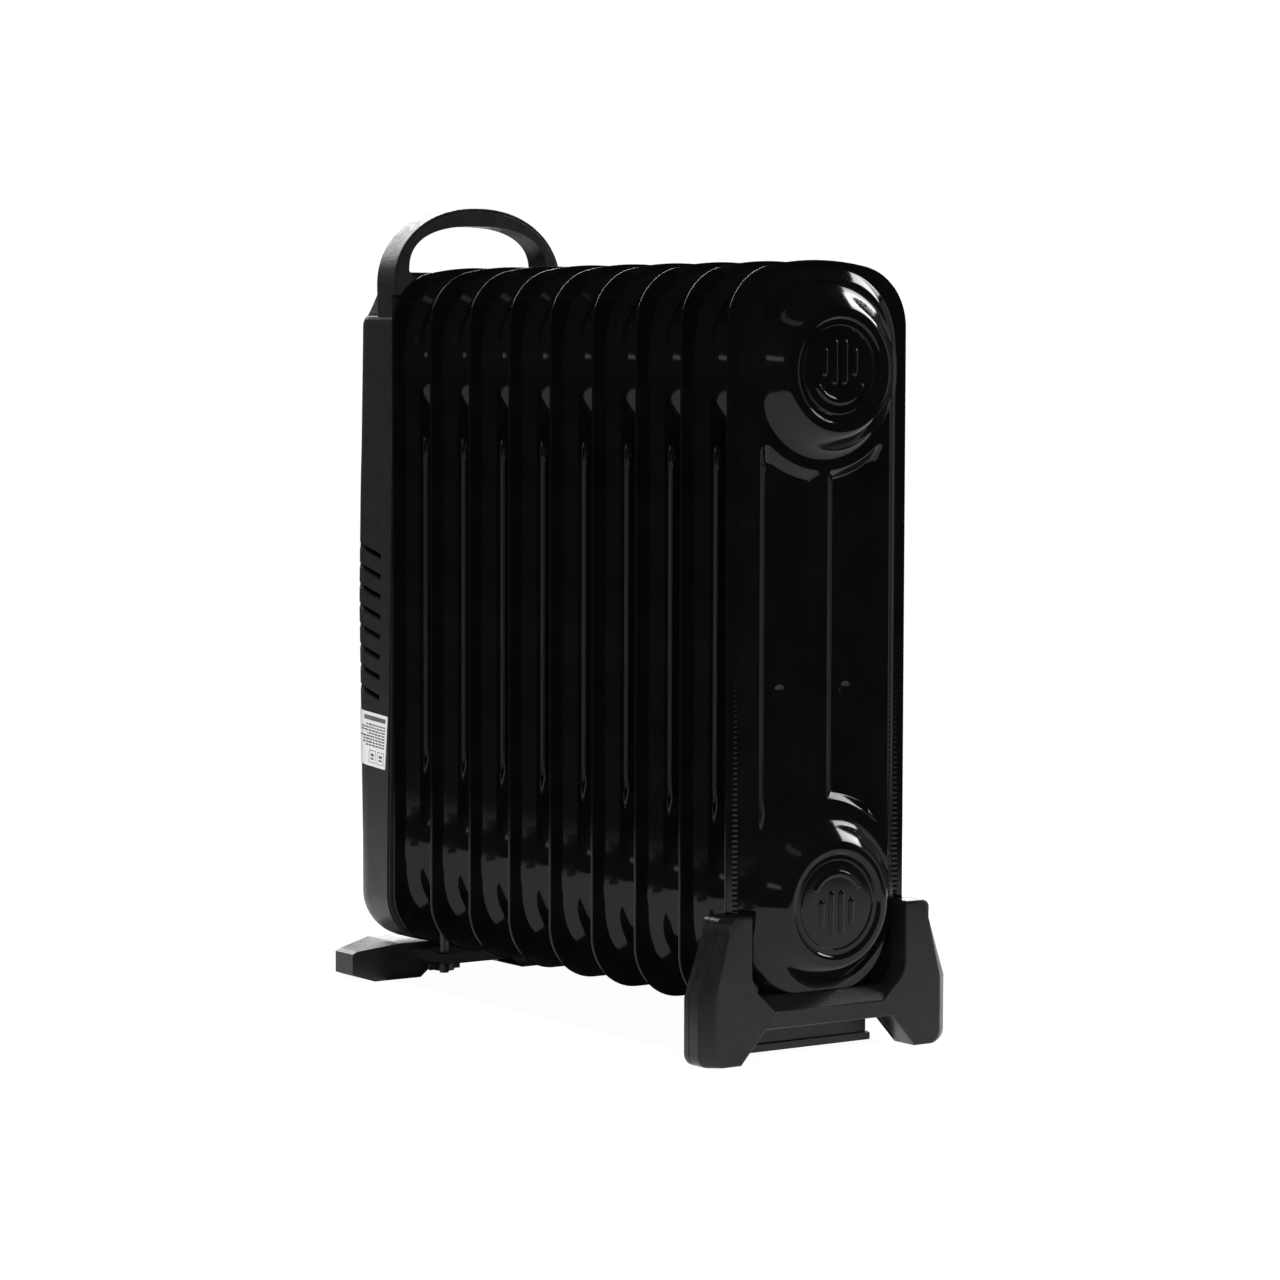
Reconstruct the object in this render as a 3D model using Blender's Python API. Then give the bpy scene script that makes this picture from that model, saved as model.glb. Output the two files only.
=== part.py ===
"""Oil filled radiator heater, modelled piece by piece.

Metres, +Z up. X runs along the row of fins: the controls are at -X and the last fin at +X.
Y runs across the fins, and Z = 0 is the floor. Inside the "heater" empty, X is measured from
the seam plane of the last fin and Z from the lowest edge of the fins.
"""
import math

import bmesh
import bpy
from mathutils import Matrix, Vector

# ---------------------------------------------------------------- driving dimensions
FIN_COUNT = 9
FIN_PITCH = 0.038
FIN_HEIGHT = 0.365
FIN_WIDTH = 0.108
FIN_TOP_RADIUS = 0.030
FIN_BOTTOM_RADIUS = 0.028
FIN_CROWN = 0.002            # the top edge rises this much between its corners
SHEET = 0.0008               # steel sheet
FLANGE = 0.008               # rolled and welded edge round each fin
RAISED_TOP = 0.3565          # the raised area inside the flange ends here
RAISED_BOTTOM = 0.005
RAISED_RADIUS = 0.034
CHANNEL_RISE = 0.006         # oil channel's face above the seam plane
CHANNEL_SLOPE = 0.0055       # width of the slope between flange and channel
FIT_GAP = 0.0003             # clearance between pieces that touch

HUB_UPPER_Z = 0.312
HUB_LOWER_Z = 0.0545
HUB_BASE_RADIUS = 0.0385
HUB_FACE_RADIUS = 0.030
HUB_REACH = FIN_PITCH / 2 - FIT_GAP / 2
PORT_RADIUS = 0.014
FILLER_RADIUS = 0.006
HUB_SIDES = 16
GASKET_THICKNESS = 0.0012
GASKET_BORE = 0.0132
BRACKET_THICKNESS = 0.0012
BRACKET_HALF = 0.024
BRACKET_Z = (0.030, 0.336)
BRACKET_WINDOW_HALF = 0.019
BRACKET_WINDOW_Z = (0.150, 0.262)
ELEMENT_LENGTH = 0.262       # from the first hub's face to the start of the bend
ELEMENT_START = -0.010       # cold ends stand out of the plug by this much
ELEMENT_LEG = 0.007          # half the distance between the element's two legs
ELEMENT_TUBE = 0.0039

PANEL_INNER_Y = 0.0028       # recessed panels either side of the middle channel
PANEL_OUTER_Y = 0.0378
PANEL_RING = 0.049           # the panels end on circles of this radius round the hubs
PANEL_CORNER_Y = 0.033       # their outer corners are cut from here to the side
PANEL_CORNER = 0.006
PANEL_SLOPE = 0.004

FLOOR_DROP = 0.020           # floor below the lowest edge of the fins
FIRST_FIN_X = -(FIN_COUNT - 1) * FIN_PITCH

HOUSING_FRONT = FIRST_FIN_X - 0.0015
FRAME_DEPTH = 0.0037         # front frame's thickness
FRAME_INSET = 0.0013         # the frame lies inside the shell's front edge
SHELL_FRONT = HOUSING_FRONT - FRAME_DEPTH - FIT_GAP
SHELL_BACK = FIRST_FIN_X - 0.044
SHELL_ROUND = 0.0145         # round between the shell's sides and its back, at mid height
SHELL_ROUND_LOW = 0.0095     # the round grows by this much towards the bottom
SHELL_ROUND_HIGH = 0.0035    # and by this much towards the top
SHELL_WALL = 0.0025
HOUSING_HALF = 0.057
HOUSING_BOTTOM = 0.001
HOUSING_TOP = 0.341
HOUSING_RADIUS = 0.026
TAPER_Z = (0.045, 0.270)     # the sides draw in to the handle's width between these heights
HANDLE_HALF = 0.0535
HANDLE_TOP = 0.397
HANDLE_SPRING = 0.355        # height where the arch starts
HANDLE_POWER = 2.15
HANDLE_DEPTH = 0.020
HANDLE_FRONT = FIRST_FIN_X + 0.0012
HANDLE_ROOT = 0.330          # the handle's legs run down inside the housing to here
HANDLE_STEP = 0.350          # above this the handle stands forward of the housing's front
FLARE_DEPTH = 0.0085         # the handle's back spreads towards the housing's top
FLARE_Z = (0.3395, 0.3605)
GRIP_HALF = 0.044
GRIP_BOTTOM = 0.3595
GRIP_SPRING = 0.363
GRIP_TOP = 0.3873
GRIP_POWER = 2.5

SLOT_COUNT = 8
SLOT_PITCH = 0.0109
SLOT_TOP_Z = 0.2093
SLOT_HEIGHT = 0.0024
SLOT_START = FIRST_FIN_X - 0.0115
SLOT_RISE = 0.0094           # the vents climb this much from front to back
SCREW_PLACES = [(y, z) for y in (-0.049, 0.049) for z in (0.040, 0.322)]
SCREW_HEAD = 0.0022

KNOB_Z = 0.232
KNOB_RADIUS = 0.019
KNOB_DEPTH = 0.012
SHAFT_RADIUS = 0.003
ROCKER_Z = 0.186
ROCKER_Y = 0.014
ROCKER_TILT = math.radians(9)
ROCKER_AXIS_X = SHELL_BACK + 0.0015
CASE_HALF_Y = 0.0075
CASE_HALF_Z = 0.0125
CASE_WALL = 0.0012
CASE_DEPTH = 0.014
CASE_LIP = 0.0015
PIN_RADIUS = 0.0010
TERMINAL_Z = 0.126
CUTOUT_Z = 0.150
INLET_Y = -0.020
INLET_Z = 0.055
PLATE_CORNER = (FIRST_FIN_X - 0.0022, 0.1237)   # rating plate's upper front corner, X and Z
PLATE_SIZE = (0.033, 0.029)
PLATE_TILT = math.radians(4.2)

FOOT_HALF = 0.075
FOOT_ARM_INNER = 0.0466
FOOT_ARM_TOP = 0.052
FOOT_FRONT = 0.013
FOOT_REAR = -0.0045
FOOT_CHAMFER = 0.0065
FAR_FOOT_FRONT = FIRST_FIN_X - 0.006
FAR_FOOT_REAR = FIRST_FIN_X - 0.040
U_BOLT_RADIUS = 0.0335
U_BOLT_WIRE = 0.0025
FAR_NUT_Z = -0.0085          # underside of the far foot's tongue, where its nuts bear

KNOB_BACK = SHELL_BACK - FIT_GAP - KNOB_DEPTH
MIDDLE_X = (HUB_REACH + KNOB_BACK) / 2


# ---------------------------------------------------------------- helpers
def clear_scene():
    for obj in list(bpy.data.objects):
        bpy.data.objects.remove(obj, do_unlink=True)


def material(name, colour, roughness, metallic=0.0):
    """A plain Principled material."""
    made = bpy.data.materials.new(name)
    made.use_nodes = True
    shader = made.node_tree.nodes["Principled BSDF"]
    shader.inputs["Base Color"].default_value = (*colour, 1.0)
    shader.inputs["Roughness"].default_value = roughness
    shader.inputs["Metallic"].default_value = metallic
    return made


def finish(name, bm, slot, at=(0, 0, 0), smooth=30):
    """Turn a bmesh into a named object of the heater."""
    bmesh.ops.remove_doubles(bm, verts=bm.verts, dist=1e-7)
    bmesh.ops.recalc_face_normals(bm, faces=bm.faces)
    mesh = bpy.data.meshes.new(name)
    bm.to_mesh(mesh)
    bm.free()
    return place(name, mesh, slot, at, smooth)


def place(name, mesh, slot, at=(0, 0, 0), smooth=30):
    obj = bpy.data.objects.new(name, mesh)
    bpy.context.scene.collection.objects.link(obj)
    if not mesh.materials:
        mesh.materials.append(slot)
    mesh.shade_smooth()
    mesh.set_sharp_from_angle(angle=math.radians(smooth))
    obj.parent = HEATER
    obj.location = at
    return obj


def combine(target, tool, operation):
    """Apply one exact Boolean to target and remove the tool object."""
    modifier = target.modifiers.new(operation, "BOOLEAN")
    modifier.object = tool
    modifier.operation = operation
    modifier.solver = "EXACT"
    bpy.context.view_layer.update()
    graph = bpy.context.evaluated_depsgraph_get()
    mesh = bpy.data.meshes.new_from_object(target.evaluated_get(graph))
    target.modifiers.clear()
    target.data = mesh
    bpy.data.objects.remove(tool, do_unlink=True)
    mesh.shade_smooth()
    mesh.set_sharp_from_angle(angle=math.radians(30))
    return target


def loop(bm, points, x):
    """A ring of vertices from (y, z) points at one X."""
    return [bm.verts.new((x, y, z)) for y, z in points]


def bridge(bm, first, second):
    for i in range(len(first)):
        j = (i + 1) % len(first)
        bm.faces.new((first[i], first[j], second[j], second[i]))


def fill(bm, loops):
    """Fill the flat area between an outer ring and the rings inside it."""
    edges = []
    for ring in loops:
        for i, vert in enumerate(ring):
            after = ring[(i + 1) % len(ring)]
            edges.append(bm.edges.get((vert, after)) or bm.edges.new((vert, after)))
    bmesh.ops.triangle_fill(bm, use_beauty=True, edges=edges)


def circle(radius, sides=HUB_SIDES, y=0.0, z=0.0):
    steps = [2 * math.pi * i / sides for i in range(sides)]
    return [(y + radius * math.cos(a), z + radius * math.sin(a)) for a in steps]


def arc(y, z, radius, start, end, steps):
    """Points on an arc, angles in degrees."""
    angles = [math.radians(start + (end - start) * i / steps) for i in range(steps + 1)]
    return [(y + radius * math.cos(a), z + radius * math.sin(a)) for a in angles]


def arch(half, spring, top, power, steps=20):
    """Points over a rounded arch from +Y to -Y."""
    points = []
    for i in range(steps + 1):
        angle = math.pi * i / steps
        c, s = math.cos(angle), math.sin(angle)
        y = half * math.copysign(abs(c) ** (2 / power), c)
        points.append((y, spring + (top - spring) * abs(s) ** (2 / power)))
    return points


def mirrored(points):
    """Close an outline given for +Y, bottom to top, with its mirror image."""
    return points + [(-y, z) for y, z in reversed(points) if abs(y) > 1e-9]


def prism(bm, points, x0, x1, rise=0.0):
    """Extrude a (y, z) outline along X, with its far end raised."""
    near = loop(bm, points, x0)
    far = loop(bm, [(y, z + rise) for y, z in points], x1)
    bridge(bm, near, far)
    fill(bm, [near])
    fill(bm, [far])


def prism_object(name, points, x0, x1, slot, rise=0.0):
    bm = bmesh.new()
    prism(bm, points, x0, x1, rise)
    return finish(name, bm, slot)


def box(bm, low, high):
    size = Vector(high) - Vector(low)
    centre = (Vector(high) + Vector(low)) / 2
    matrix = Matrix.Translation(centre) @ Matrix.Diagonal((*size, 1))
    bmesh.ops.create_cube(bm, size=1.0, matrix=matrix)


def box_object(name, low, high, slot):
    bm = bmesh.new()
    box(bm, low, high)
    return finish(name, bm, slot)


def turned(bm, profile, sides=16, axis="X", bore=False):
    """Revolve (along, radius) points about an axis; bore closes the profile into a ring."""
    rings = []
    for along, radius in profile:
        ring = [bm.verts.new(on_axis(axis, along, y, z)) for y, z in circle(radius, sides)]
        rings.append(ring)
    for first, second in zip(rings, rings[1:]):
        bridge(bm, first, second)
    if bore:
        bridge(bm, rings[-1], rings[0])
    else:
        bm.faces.new(rings[0])
        bm.faces.new(rings[-1])


def on_axis(axis, along, u, v):
    if axis == "X":
        return (along, u, v)
    if axis == "Y":
        return (u, along, v)
    return (u, v, along)


def turned_object(name, profile, slot, at=(0, 0, 0), sides=16, axis="X", bore=False):
    bm = bmesh.new()
    turned(bm, profile, sides, axis, bore)
    return finish(name, bm, slot, at)


def wire(name, route, radius, at):
    """A bent steel rod or tube along a list of points."""
    curve = bpy.data.curves.new(name, "CURVE")
    curve.dimensions = "3D"
    curve.bevel_depth = radius
    curve.bevel_resolution = 2
    curve.use_fill_caps = True
    spline = curve.splines.new("POLY")
    spline.points.add(len(route) - 1)
    for point, where in zip(spline.points, route):
        point.co = (*where, 1)
    curve.materials.append(STEEL)
    rod = bpy.data.objects.new(name, curve)
    bpy.context.scene.collection.objects.link(rod)
    rod.parent = HEATER
    rod.location = at


# ---------------------------------------------------------------- fins
def fin_outline(inset):
    """Edge of a fin, pulled in by inset."""
    half = FIN_WIDTH / 2 - inset
    top = FIN_TOP_RADIUS - inset
    bottom = FIN_BOTTOM_RADIUS - inset
    shoulder = FIN_HEIGHT - FIN_CROWN - FIN_TOP_RADIUS
    foot = FIN_BOTTOM_RADIUS
    points = arc(half - bottom, foot, bottom, -90, 0, 3)
    points += arc(half - top, shoulder, top, 0, 90, 3)
    points.append((0.0, FIN_HEIGHT - inset))
    points += arc(top - half, shoulder, top, 90, 180, 3)
    points += arc(bottom - half, foot, bottom, 180, 270, 3)
    return points


def raised_outline(inset):
    """Edge of the raised area inside the flange, pulled in by inset."""
    half = FIN_WIDTH / 2 - FLANGE - inset
    radius = RAISED_RADIUS - inset
    low, high = RAISED_BOTTOM + RAISED_RADIUS, RAISED_TOP - RAISED_RADIUS
    points = arc(half - radius, low, radius, -90, 0, 4)
    points += arc(half - radius, high, radius, 0, 90, 4)
    return mirrored(points)


def panel_outline(side, grow):
    """One recessed panel; grow widens it all round."""
    ring = PANEL_RING - grow
    across = [PANEL_INNER_Y - grow, 0.020, PANEL_CORNER_Y + 0.4 * grow]
    outer = PANEL_OUTER_Y + grow
    low = [(y, HUB_LOWER_Z + math.sqrt(ring**2 - y**2)) for y in across]
    high = [(y, HUB_UPPER_Z - math.sqrt(ring**2 - y**2)) for y in across]
    low.append((outer, low[-1][1] + PANEL_CORNER))
    high.append((outer, high[-1][1] - PANEL_CORNER))
    return [(side * y, z) for y, z in low + high[::-1]]


def hub(bm, z, face, x_base, shrink, x, port):
    """Base ring, face ring and port ring of one hub."""
    base = loop(bm, circle(HUB_BASE_RADIUS - shrink, z=z), x * x_base)
    rim = loop(bm, circle(HUB_FACE_RADIUS - shrink, z=z), x * face)
    bridge(bm, base, rim)
    if not port:
        fill(bm, [rim])
        return base, None
    mouth = loop(bm, circle(port, z=z), x * face)
    bridge(bm, rim, mouth)
    return base, mouth


def half_fin(bm, x, ports):
    """The pressed sheet on one side of the seam plane: its outside and its inside."""
    mouths = []
    for shrink in (0.0, SHEET):
        start = loop(bm, raised_outline(shrink), x * (SHEET - shrink))
        plateau = loop(bm, raised_outline(CHANNEL_SLOPE + shrink), x * (CHANNEL_RISE - shrink))
        bridge(bm, start, plateau)
        if not shrink:
            rim = loop(bm, fin_outline(0.0), x * SHEET)
            seam = loop(bm, fin_outline(0.0), 0.0)
            bridge(bm, seam, rim)
            fill(bm, [rim, start])
        rings = [plateau]
        for z, port in zip((HUB_UPPER_Z, HUB_LOWER_Z), ports):
            face = HUB_REACH - shrink
            base, mouth = hub(bm, z, face, CHANNEL_RISE - shrink, shrink, x, port)
            rings.append(base)
            mouths.append(mouth)
        for side in (-1, 1):
            edge = loop(bm, panel_outline(side, shrink), x * (CHANNEL_RISE - shrink))
            depth = SHEET - shrink
            floor = loop(bm, panel_outline(side, shrink * 1.25 - PANEL_SLOPE), x * depth)
            bridge(bm, edge, floor)
            if not shrink:
                bm.faces.new(floor)
            rings.append(edge)
        fill(bm, rings)
    for outside, inside in zip(mouths[:2], mouths[2:]):
        if outside:
            bridge(bm, outside, inside)


def fin_mesh(name, ports_minus, ports_plus):
    bm = bmesh.new()
    half_fin(bm, -1, ports_minus)
    half_fin(bm, 1, ports_plus)
    bmesh.ops.remove_doubles(bm, verts=bm.verts, dist=1e-6)
    bmesh.ops.recalc_face_normals(bm, faces=bm.faces)
    mesh = bpy.data.meshes.new(name)
    bm.to_mesh(mesh)
    bm.free()
    return mesh


def make_fins():
    both = (PORT_RADIUS, PORT_RADIUS)
    first = fin_mesh("first_fin", (FILLER_RADIUS, PORT_RADIUS), both)
    middle = fin_mesh("middle_fin", both, both)
    last = fin_mesh("last_fin", both, (0, 0))
    for number in range(1, FIN_COUNT + 1):
        mesh = {1: first, FIN_COUNT: last}.get(number, middle)
        x = FIRST_FIN_X + (number - 1) * FIN_PITCH
        place(f"fin_{number}", mesh, ENAMEL, (x, 0, 0))


# ---------------------------------------------------------------- heating element and plugs
def make_element():
    """U-shaped element in the lower header, its threaded plug, gasket and the filler plug."""
    back = FIRST_FIN_X - HUB_REACH
    leg = ELEMENT_LEG
    route = [(ELEMENT_START, -leg), (ELEMENT_LENGTH / 2, -leg)]
    bend = [math.pi * i / 8 for i in range(9)]
    route += [(ELEMENT_LENGTH + math.sin(a) * leg, -math.cos(a) * leg) for a in bend]
    route += [(ELEMENT_LENGTH / 2, leg), (ELEMENT_START, leg)]
    points = [(x, 0, z) for x, z in route]
    wire("heating_element", points, ELEMENT_TUBE, (back, 0, HUB_LOWER_Z))

    head, neck = 0.0065, 0.006
    strip = BRACKET_THICKNESS + 2 * FIT_GAP
    flange_x = back - FIT_GAP - GASKET_THICKNESS - strip
    profile = [(-head, 0.0175), (0, 0.0175), (0, 0.0125), (neck, 0.0125)]
    plug = turned_object("element_flange", profile, BRASS, (flange_x, 0, HUB_LOWER_Z), sides=12)
    for z in (-leg, leg):
        clear = ELEMENT_TUBE + FIT_GAP
        hole = turned_object("hole", [(-0.02, clear), (0.02, clear)], BRASS)
        hole.location = (flange_x, 0, HUB_LOWER_Z + z)
        combine(plug, hole, "DIFFERENCE")

    ring = [(0, GASKET_BORE), (0, 0.021)]
    ring += [(GASKET_THICKNESS, 0.021), (GASKET_THICKNESS, GASKET_BORE)]
    gasket_x = back - FIT_GAP - GASKET_THICKNESS
    turned_object("flange_gasket", ring, RUBBER, (gasket_x, 0, HUB_LOWER_Z), bore=True)

    thread = FILLER_RADIUS - FIT_GAP
    filler = [(-0.006, 0.0085), (0, 0.0085), (0, thread), (0.0085, thread)]
    filler_x = back - BRACKET_THICKNESS - 3 * FIT_GAP - GASKET_THICKNESS
    turned_object("oil_filler_plug", filler, BRASS, (filler_x, 0, HUB_UPPER_Z), sides=12)


def make_bracket():
    """Steel strip held by the two plugs; the electrical housing hangs on it."""
    front = FIRST_FIN_X - HUB_REACH - FIT_GAP - GASKET_THICKNESS - FIT_GAP
    back = front - BRACKET_THICKNESS
    low, high = (back, -BRACKET_HALF, BRACKET_Z[0]), (front, BRACKET_HALF, BRACKET_Z[1])
    strip = box_object("support_bracket", low, high, STEEL)
    for z, radius in ((HUB_LOWER_Z, GASKET_BORE), (HUB_UPPER_Z, FILLER_RADIUS + FIT_GAP)):
        hole = turned_object("hole", [(back - 0.01, radius), (front + 0.01, radius)], STEEL)
        hole.location = (0, 0, z)
        combine(strip, hole, "DIFFERENCE")
    low = (back - 0.01, -BRACKET_WINDOW_HALF, BRACKET_WINDOW_Z[0])
    high = (front + 0.01, BRACKET_WINDOW_HALF, BRACKET_WINDOW_Z[1])
    combine(strip, box_object("window", low, high, STEEL), "DIFFERENCE")


# ---------------------------------------------------------------- housing
def housing_half(z):
    """Half the housing's width at one height."""
    low, high = TAPER_Z
    share = min(max((z - low) / (high - low), 0.0), 1.0)
    return HOUSING_HALF + (HANDLE_HALF - HOUSING_HALF) * share


def shell_round(z):
    """Radius of the round into the shell's back at one height."""
    low = min(max((0.185 - z) / 0.135, 0.0), 1.0)
    high = min(max((z - 0.250) / 0.090, 0.0), 1.0)
    return SHELL_ROUND + SHELL_ROUND_LOW * low + SHELL_ROUND_HIGH * high


def side_points(inset):
    """Foot and side of the housing for +Y, from the middle of its bottom edge upwards."""
    foot = HOUSING_BOTTOM + HOUSING_RADIUS
    points = [(0.0, HOUSING_BOTTOM + inset)]
    points += arc(HOUSING_HALF - HOUSING_RADIUS, foot, HOUSING_RADIUS - inset, -90, 0, 4)
    heights = (TAPER_Z[0], 0.120, 0.185, 0.250, TAPER_Z[1])
    return points + [(housing_half(z) - inset, z) for z in heights]


def housing_outline(inset):
    """Outline of the control housing below the handle, pulled in by inset."""
    points = side_points(inset)
    top = HOUSING_TOP - inset
    points += [(HANDLE_HALF - inset, top - 0.004), (HANDLE_HALF - 0.004 - inset, top), (0.0, top)]
    return mirrored(points)


def handle_arch(inset=0.0):
    """Outline of the whole handle, whose legs narrow a little inside the housing."""
    root = HANDLE_HALF - inset - 0.0006
    over = arch(HANDLE_HALF - inset, HANDLE_SPRING, HANDLE_TOP - inset, HANDLE_POWER)
    return over + [(-root, HANDLE_ROOT), (root, HANDLE_ROOT)]


def silhouette(inset=0.0):
    """Outline of the housing and the handle's arch together, pulled in by inset."""
    over = arch(HANDLE_HALF - inset, HANDLE_SPRING, HANDLE_TOP - inset, HANDLE_POWER)
    return mirrored(side_points(inset) + [(max(y, 0.0), z) for y, z in over if y > -1e-6])


def grip_opening():
    points = [(0.0, GRIP_BOTTOM), (GRIP_HALF - 0.003, GRIP_BOTTOM)]
    half_arch = [p for p in arch(GRIP_HALF, GRIP_SPRING, GRIP_TOP, GRIP_POWER) if p[0] > -1e-6]
    points += [(max(y, 0.0), z) for y, z in half_arch]
    return mirrored(points)


def fin_cutter(clearance, x0, x1):
    return prism_object("cutter", fin_outline(-clearance), x0, x1, ENAMEL)


def cut_below_step(target):
    """Keep only the part of the handle above the step ahead of the housing's front."""
    low, high = (HOUSING_FRONT, -0.07, HANDLE_ROOT - 0.01), (HANDLE_FRONT + 0.01, 0.07, HANDLE_STEP)
    combine(target, box_object("step", low, high, PLASTIC), "DIFFERENCE")


def make_front_frame():
    """Ring that closes the housing towards the fins, with the front of the handle."""
    back = HOUSING_FRONT - FRAME_DEPTH
    outline = silhouette(FRAME_INSET)
    frame = prism_object("housing_front_frame", outline, back, HOUSING_FRONT, PLASTIC)
    strap = prism_object("strap", handle_arch(FRAME_INSET), back, HANDLE_FRONT, PLASTIC)
    cut_below_step(strap)
    combine(frame, strap, "UNION")
    combine(frame, fin_cutter(0.0007, HOUSING_FRONT + FIT_GAP, HANDLE_FRONT + 0.01), "DIFFERENCE")
    opening = prism_object("opening", raised_outline(0.0), back - 0.01, HOUSING_FRONT + 0.01, PLASTIC)
    combine(frame, opening, "DIFFERENCE")
    grip = prism_object("grip", grip_opening(), back - 0.01, HANDLE_FRONT + 0.01, PLASTIC)
    combine(frame, grip, "DIFFERENCE")
    for y, z in SCREW_PLACES:
        sink = SCREW_HEAD + FIT_GAP
        recess = turned_object("recess", [(HOUSING_FRONT - 0.0022, sink), (0.0, sink)], PLASTIC)
        recess.location = (0, y, z)
        combine(frame, recess, "DIFFERENCE")
        hole = turned_object("hole", [(back - 0.01, 0.0017), (0.0, 0.0017)], PLASTIC, sides=12)
        hole.location = (0, y, z)
        combine(frame, hole, "DIFFERENCE")


def shell_body(name, inset, front, back):
    """Housing shell as a solid: straight sides, then a round into the back."""
    bm = bmesh.new()
    edge = housing_outline(inset)
    inner = housing_outline(inset + 0.01)
    rings = [loop(bm, edge, front)]
    steps = 4
    for i in range(steps + 1):
        angle = math.radians(90 * i / steps)
        ring = []
        for (y, z), (inner_y, inner_z) in zip(edge, inner):
            turn = shell_round(z) - inset
            share = turn * (1 - math.cos(angle)) / 0.01
            x = back + turn * (1 - math.sin(angle))
            ring.append(bm.verts.new((x, y + (inner_y - y) * share, z + (inner_z - z) * share)))
        rings.append(ring)
    for first, second in zip(rings, rings[1:]):
        bridge(bm, first, second)
    fill(bm, [rings[0]])
    fill(bm, [rings[-1]])
    return finish(name, bm, PLASTIC)


def handle_flare(rear):
    """Wedge behind the handle's root, across the housing's top."""
    half = HANDLE_HALF - 0.001
    low, high = FLARE_Z
    profile = [(rear - FLARE_DEPTH, HANDLE_ROOT + 0.002), (rear + 0.002, HANDLE_ROOT + 0.002)]
    profile += [(rear + 0.002, high), (rear, high), (rear - FLARE_DEPTH, low)]
    bm = bmesh.new()
    ends = []
    for y in (-half, half):
        ends.append([bm.verts.new((x, y, z)) for x, z in profile])
    bridge(bm, ends[0], ends[1])
    bm.faces.new(ends[0])
    bm.faces.new(ends[1])
    return finish("flare", bm, PLASTIC)


def make_shell():
    """Rear shell of the housing with the back of the handle, vents and openings for the controls."""
    shell = shell_body("housing_shell", 0.0, HOUSING_FRONT, SHELL_BACK)
    rear = HANDLE_FRONT - HANDLE_DEPTH
    strap = prism_object("strap", handle_arch(), rear, HANDLE_FRONT, PLASTIC)
    cut_below_step(strap)
    combine(shell, strap, "UNION")
    combine(shell, handle_flare(rear), "UNION")
    grip = prism_object("grip", grip_opening(), rear - 0.01, HANDLE_FRONT + 0.01, PLASTIC)
    combine(shell, grip, "DIFFERENCE")
    cavity = shell_body("cavity", SHELL_WALL, SHELL_FRONT + 0.005, SHELL_BACK + SHELL_WALL)
    combine(shell, cavity, "DIFFERENCE")
    low = (rear + 0.001, -0.0485, HANDLE_ROOT + 0.001)
    high = (SHELL_FRONT + 0.001, 0.0485, GRIP_BOTTOM - SHELL_WALL)
    combine(shell, box_object("hollow_under_grip", low, high, PLASTIC), "DIFFERENCE")
    hub_top = HUB_UPPER_Z + HUB_FACE_RADIUS + 0.0025
    low = (FIRST_FIN_X - HUB_REACH - 0.0015, -0.0470, HANDLE_ROOT + 0.002)
    high = (SHELL_FRONT, 0.0470, hub_top)
    combine(shell, box_object("room_for_hub", low, high, PLASTIC), "DIFFERENCE")
    root, tip = SHELL_FRONT - 0.012, SHELL_FRONT + 0.001
    for y, z in SCREW_PLACES:
        post = turned_object("post", [(root, 0.0042), (tip, 0.0042)], PLASTIC, sides=12)
        post.location = (0, y, z)
        rib_end = math.copysign(housing_half(z) - SHELL_WALL / 2, y)
        low = (root, min(y, rib_end), z - 0.0012)
        high = (tip, max(y, rib_end), z + 0.0012)
        combine(shell, box_object("rib", low, high, PLASTIC), "UNION")
        combine(shell, post, "UNION")
    pocket = silhouette(FRAME_INSET - FIT_GAP)
    seat = prism_object("seat", pocket, SHELL_FRONT, HANDLE_FRONT + 0.01, PLASTIC)
    combine(shell, seat, "DIFFERENCE")
    for y, z in SCREW_PLACES:
        pilot = [(root + 0.002, 0.0016), (tip, 0.0016)]
        hole = turned_object("hole", pilot, PLASTIC, sides=12)
        hole.location = (0, y, z)
        combine(shell, hole, "DIFFERENCE")
    for side in (-1, 1):
        for i in range(SLOT_COUNT):
            z = SLOT_TOP_Z - i * SLOT_PITCH
            low, high = z - SLOT_HEIGHT / 2, z + SLOT_HEIGHT / 2
            inner, outer = side * 0.0505, side * 0.060
            section = [(inner, low), (outer, low), (outer, high), (inner, high)]
            slot = prism_object("slot", section, SLOT_START, SHELL_BACK - 0.005, PLASTIC, SLOT_RISE)
            combine(shell, slot, "DIFFERENCE")
    for y, z, radius in ((0, KNOB_Z, 0.0045), (INLET_Y, INLET_Z, 0.0063)):
        through = [(SHELL_BACK - 0.01, radius), (SHELL_BACK + 0.006, radius)]
        hole = turned_object("hole", through, PLASTIC)
        hole.location = (0, y, z)
        combine(shell, hole, "DIFFERENCE")
    for side in (-1, 1):
        y = side * ROCKER_Y
        low = (SHELL_BACK - 0.01, y - CASE_HALF_Y - FIT_GAP, ROCKER_Z - CASE_HALF_Z - FIT_GAP)
        high = (SHELL_BACK + 0.006, y + CASE_HALF_Y + FIT_GAP, ROCKER_Z + CASE_HALF_Z + FIT_GAP)
        combine(shell, box_object("window", low, high, PLASTIC), "DIFFERENCE")


def make_housing_screws():
    for number, (y, z) in enumerate(SCREW_PLACES, 1):
        head = HOUSING_FRONT - 0.0004
        profile = [(head - 0.011, 0.0013), (head - 0.0015, 0.0013)]
        profile += [(head - 0.0015, SCREW_HEAD), (head, SCREW_HEAD)]
        turned_object(f"housing_screw_{number}", profile, STEEL, (0, y, z), sides=12)


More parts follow.
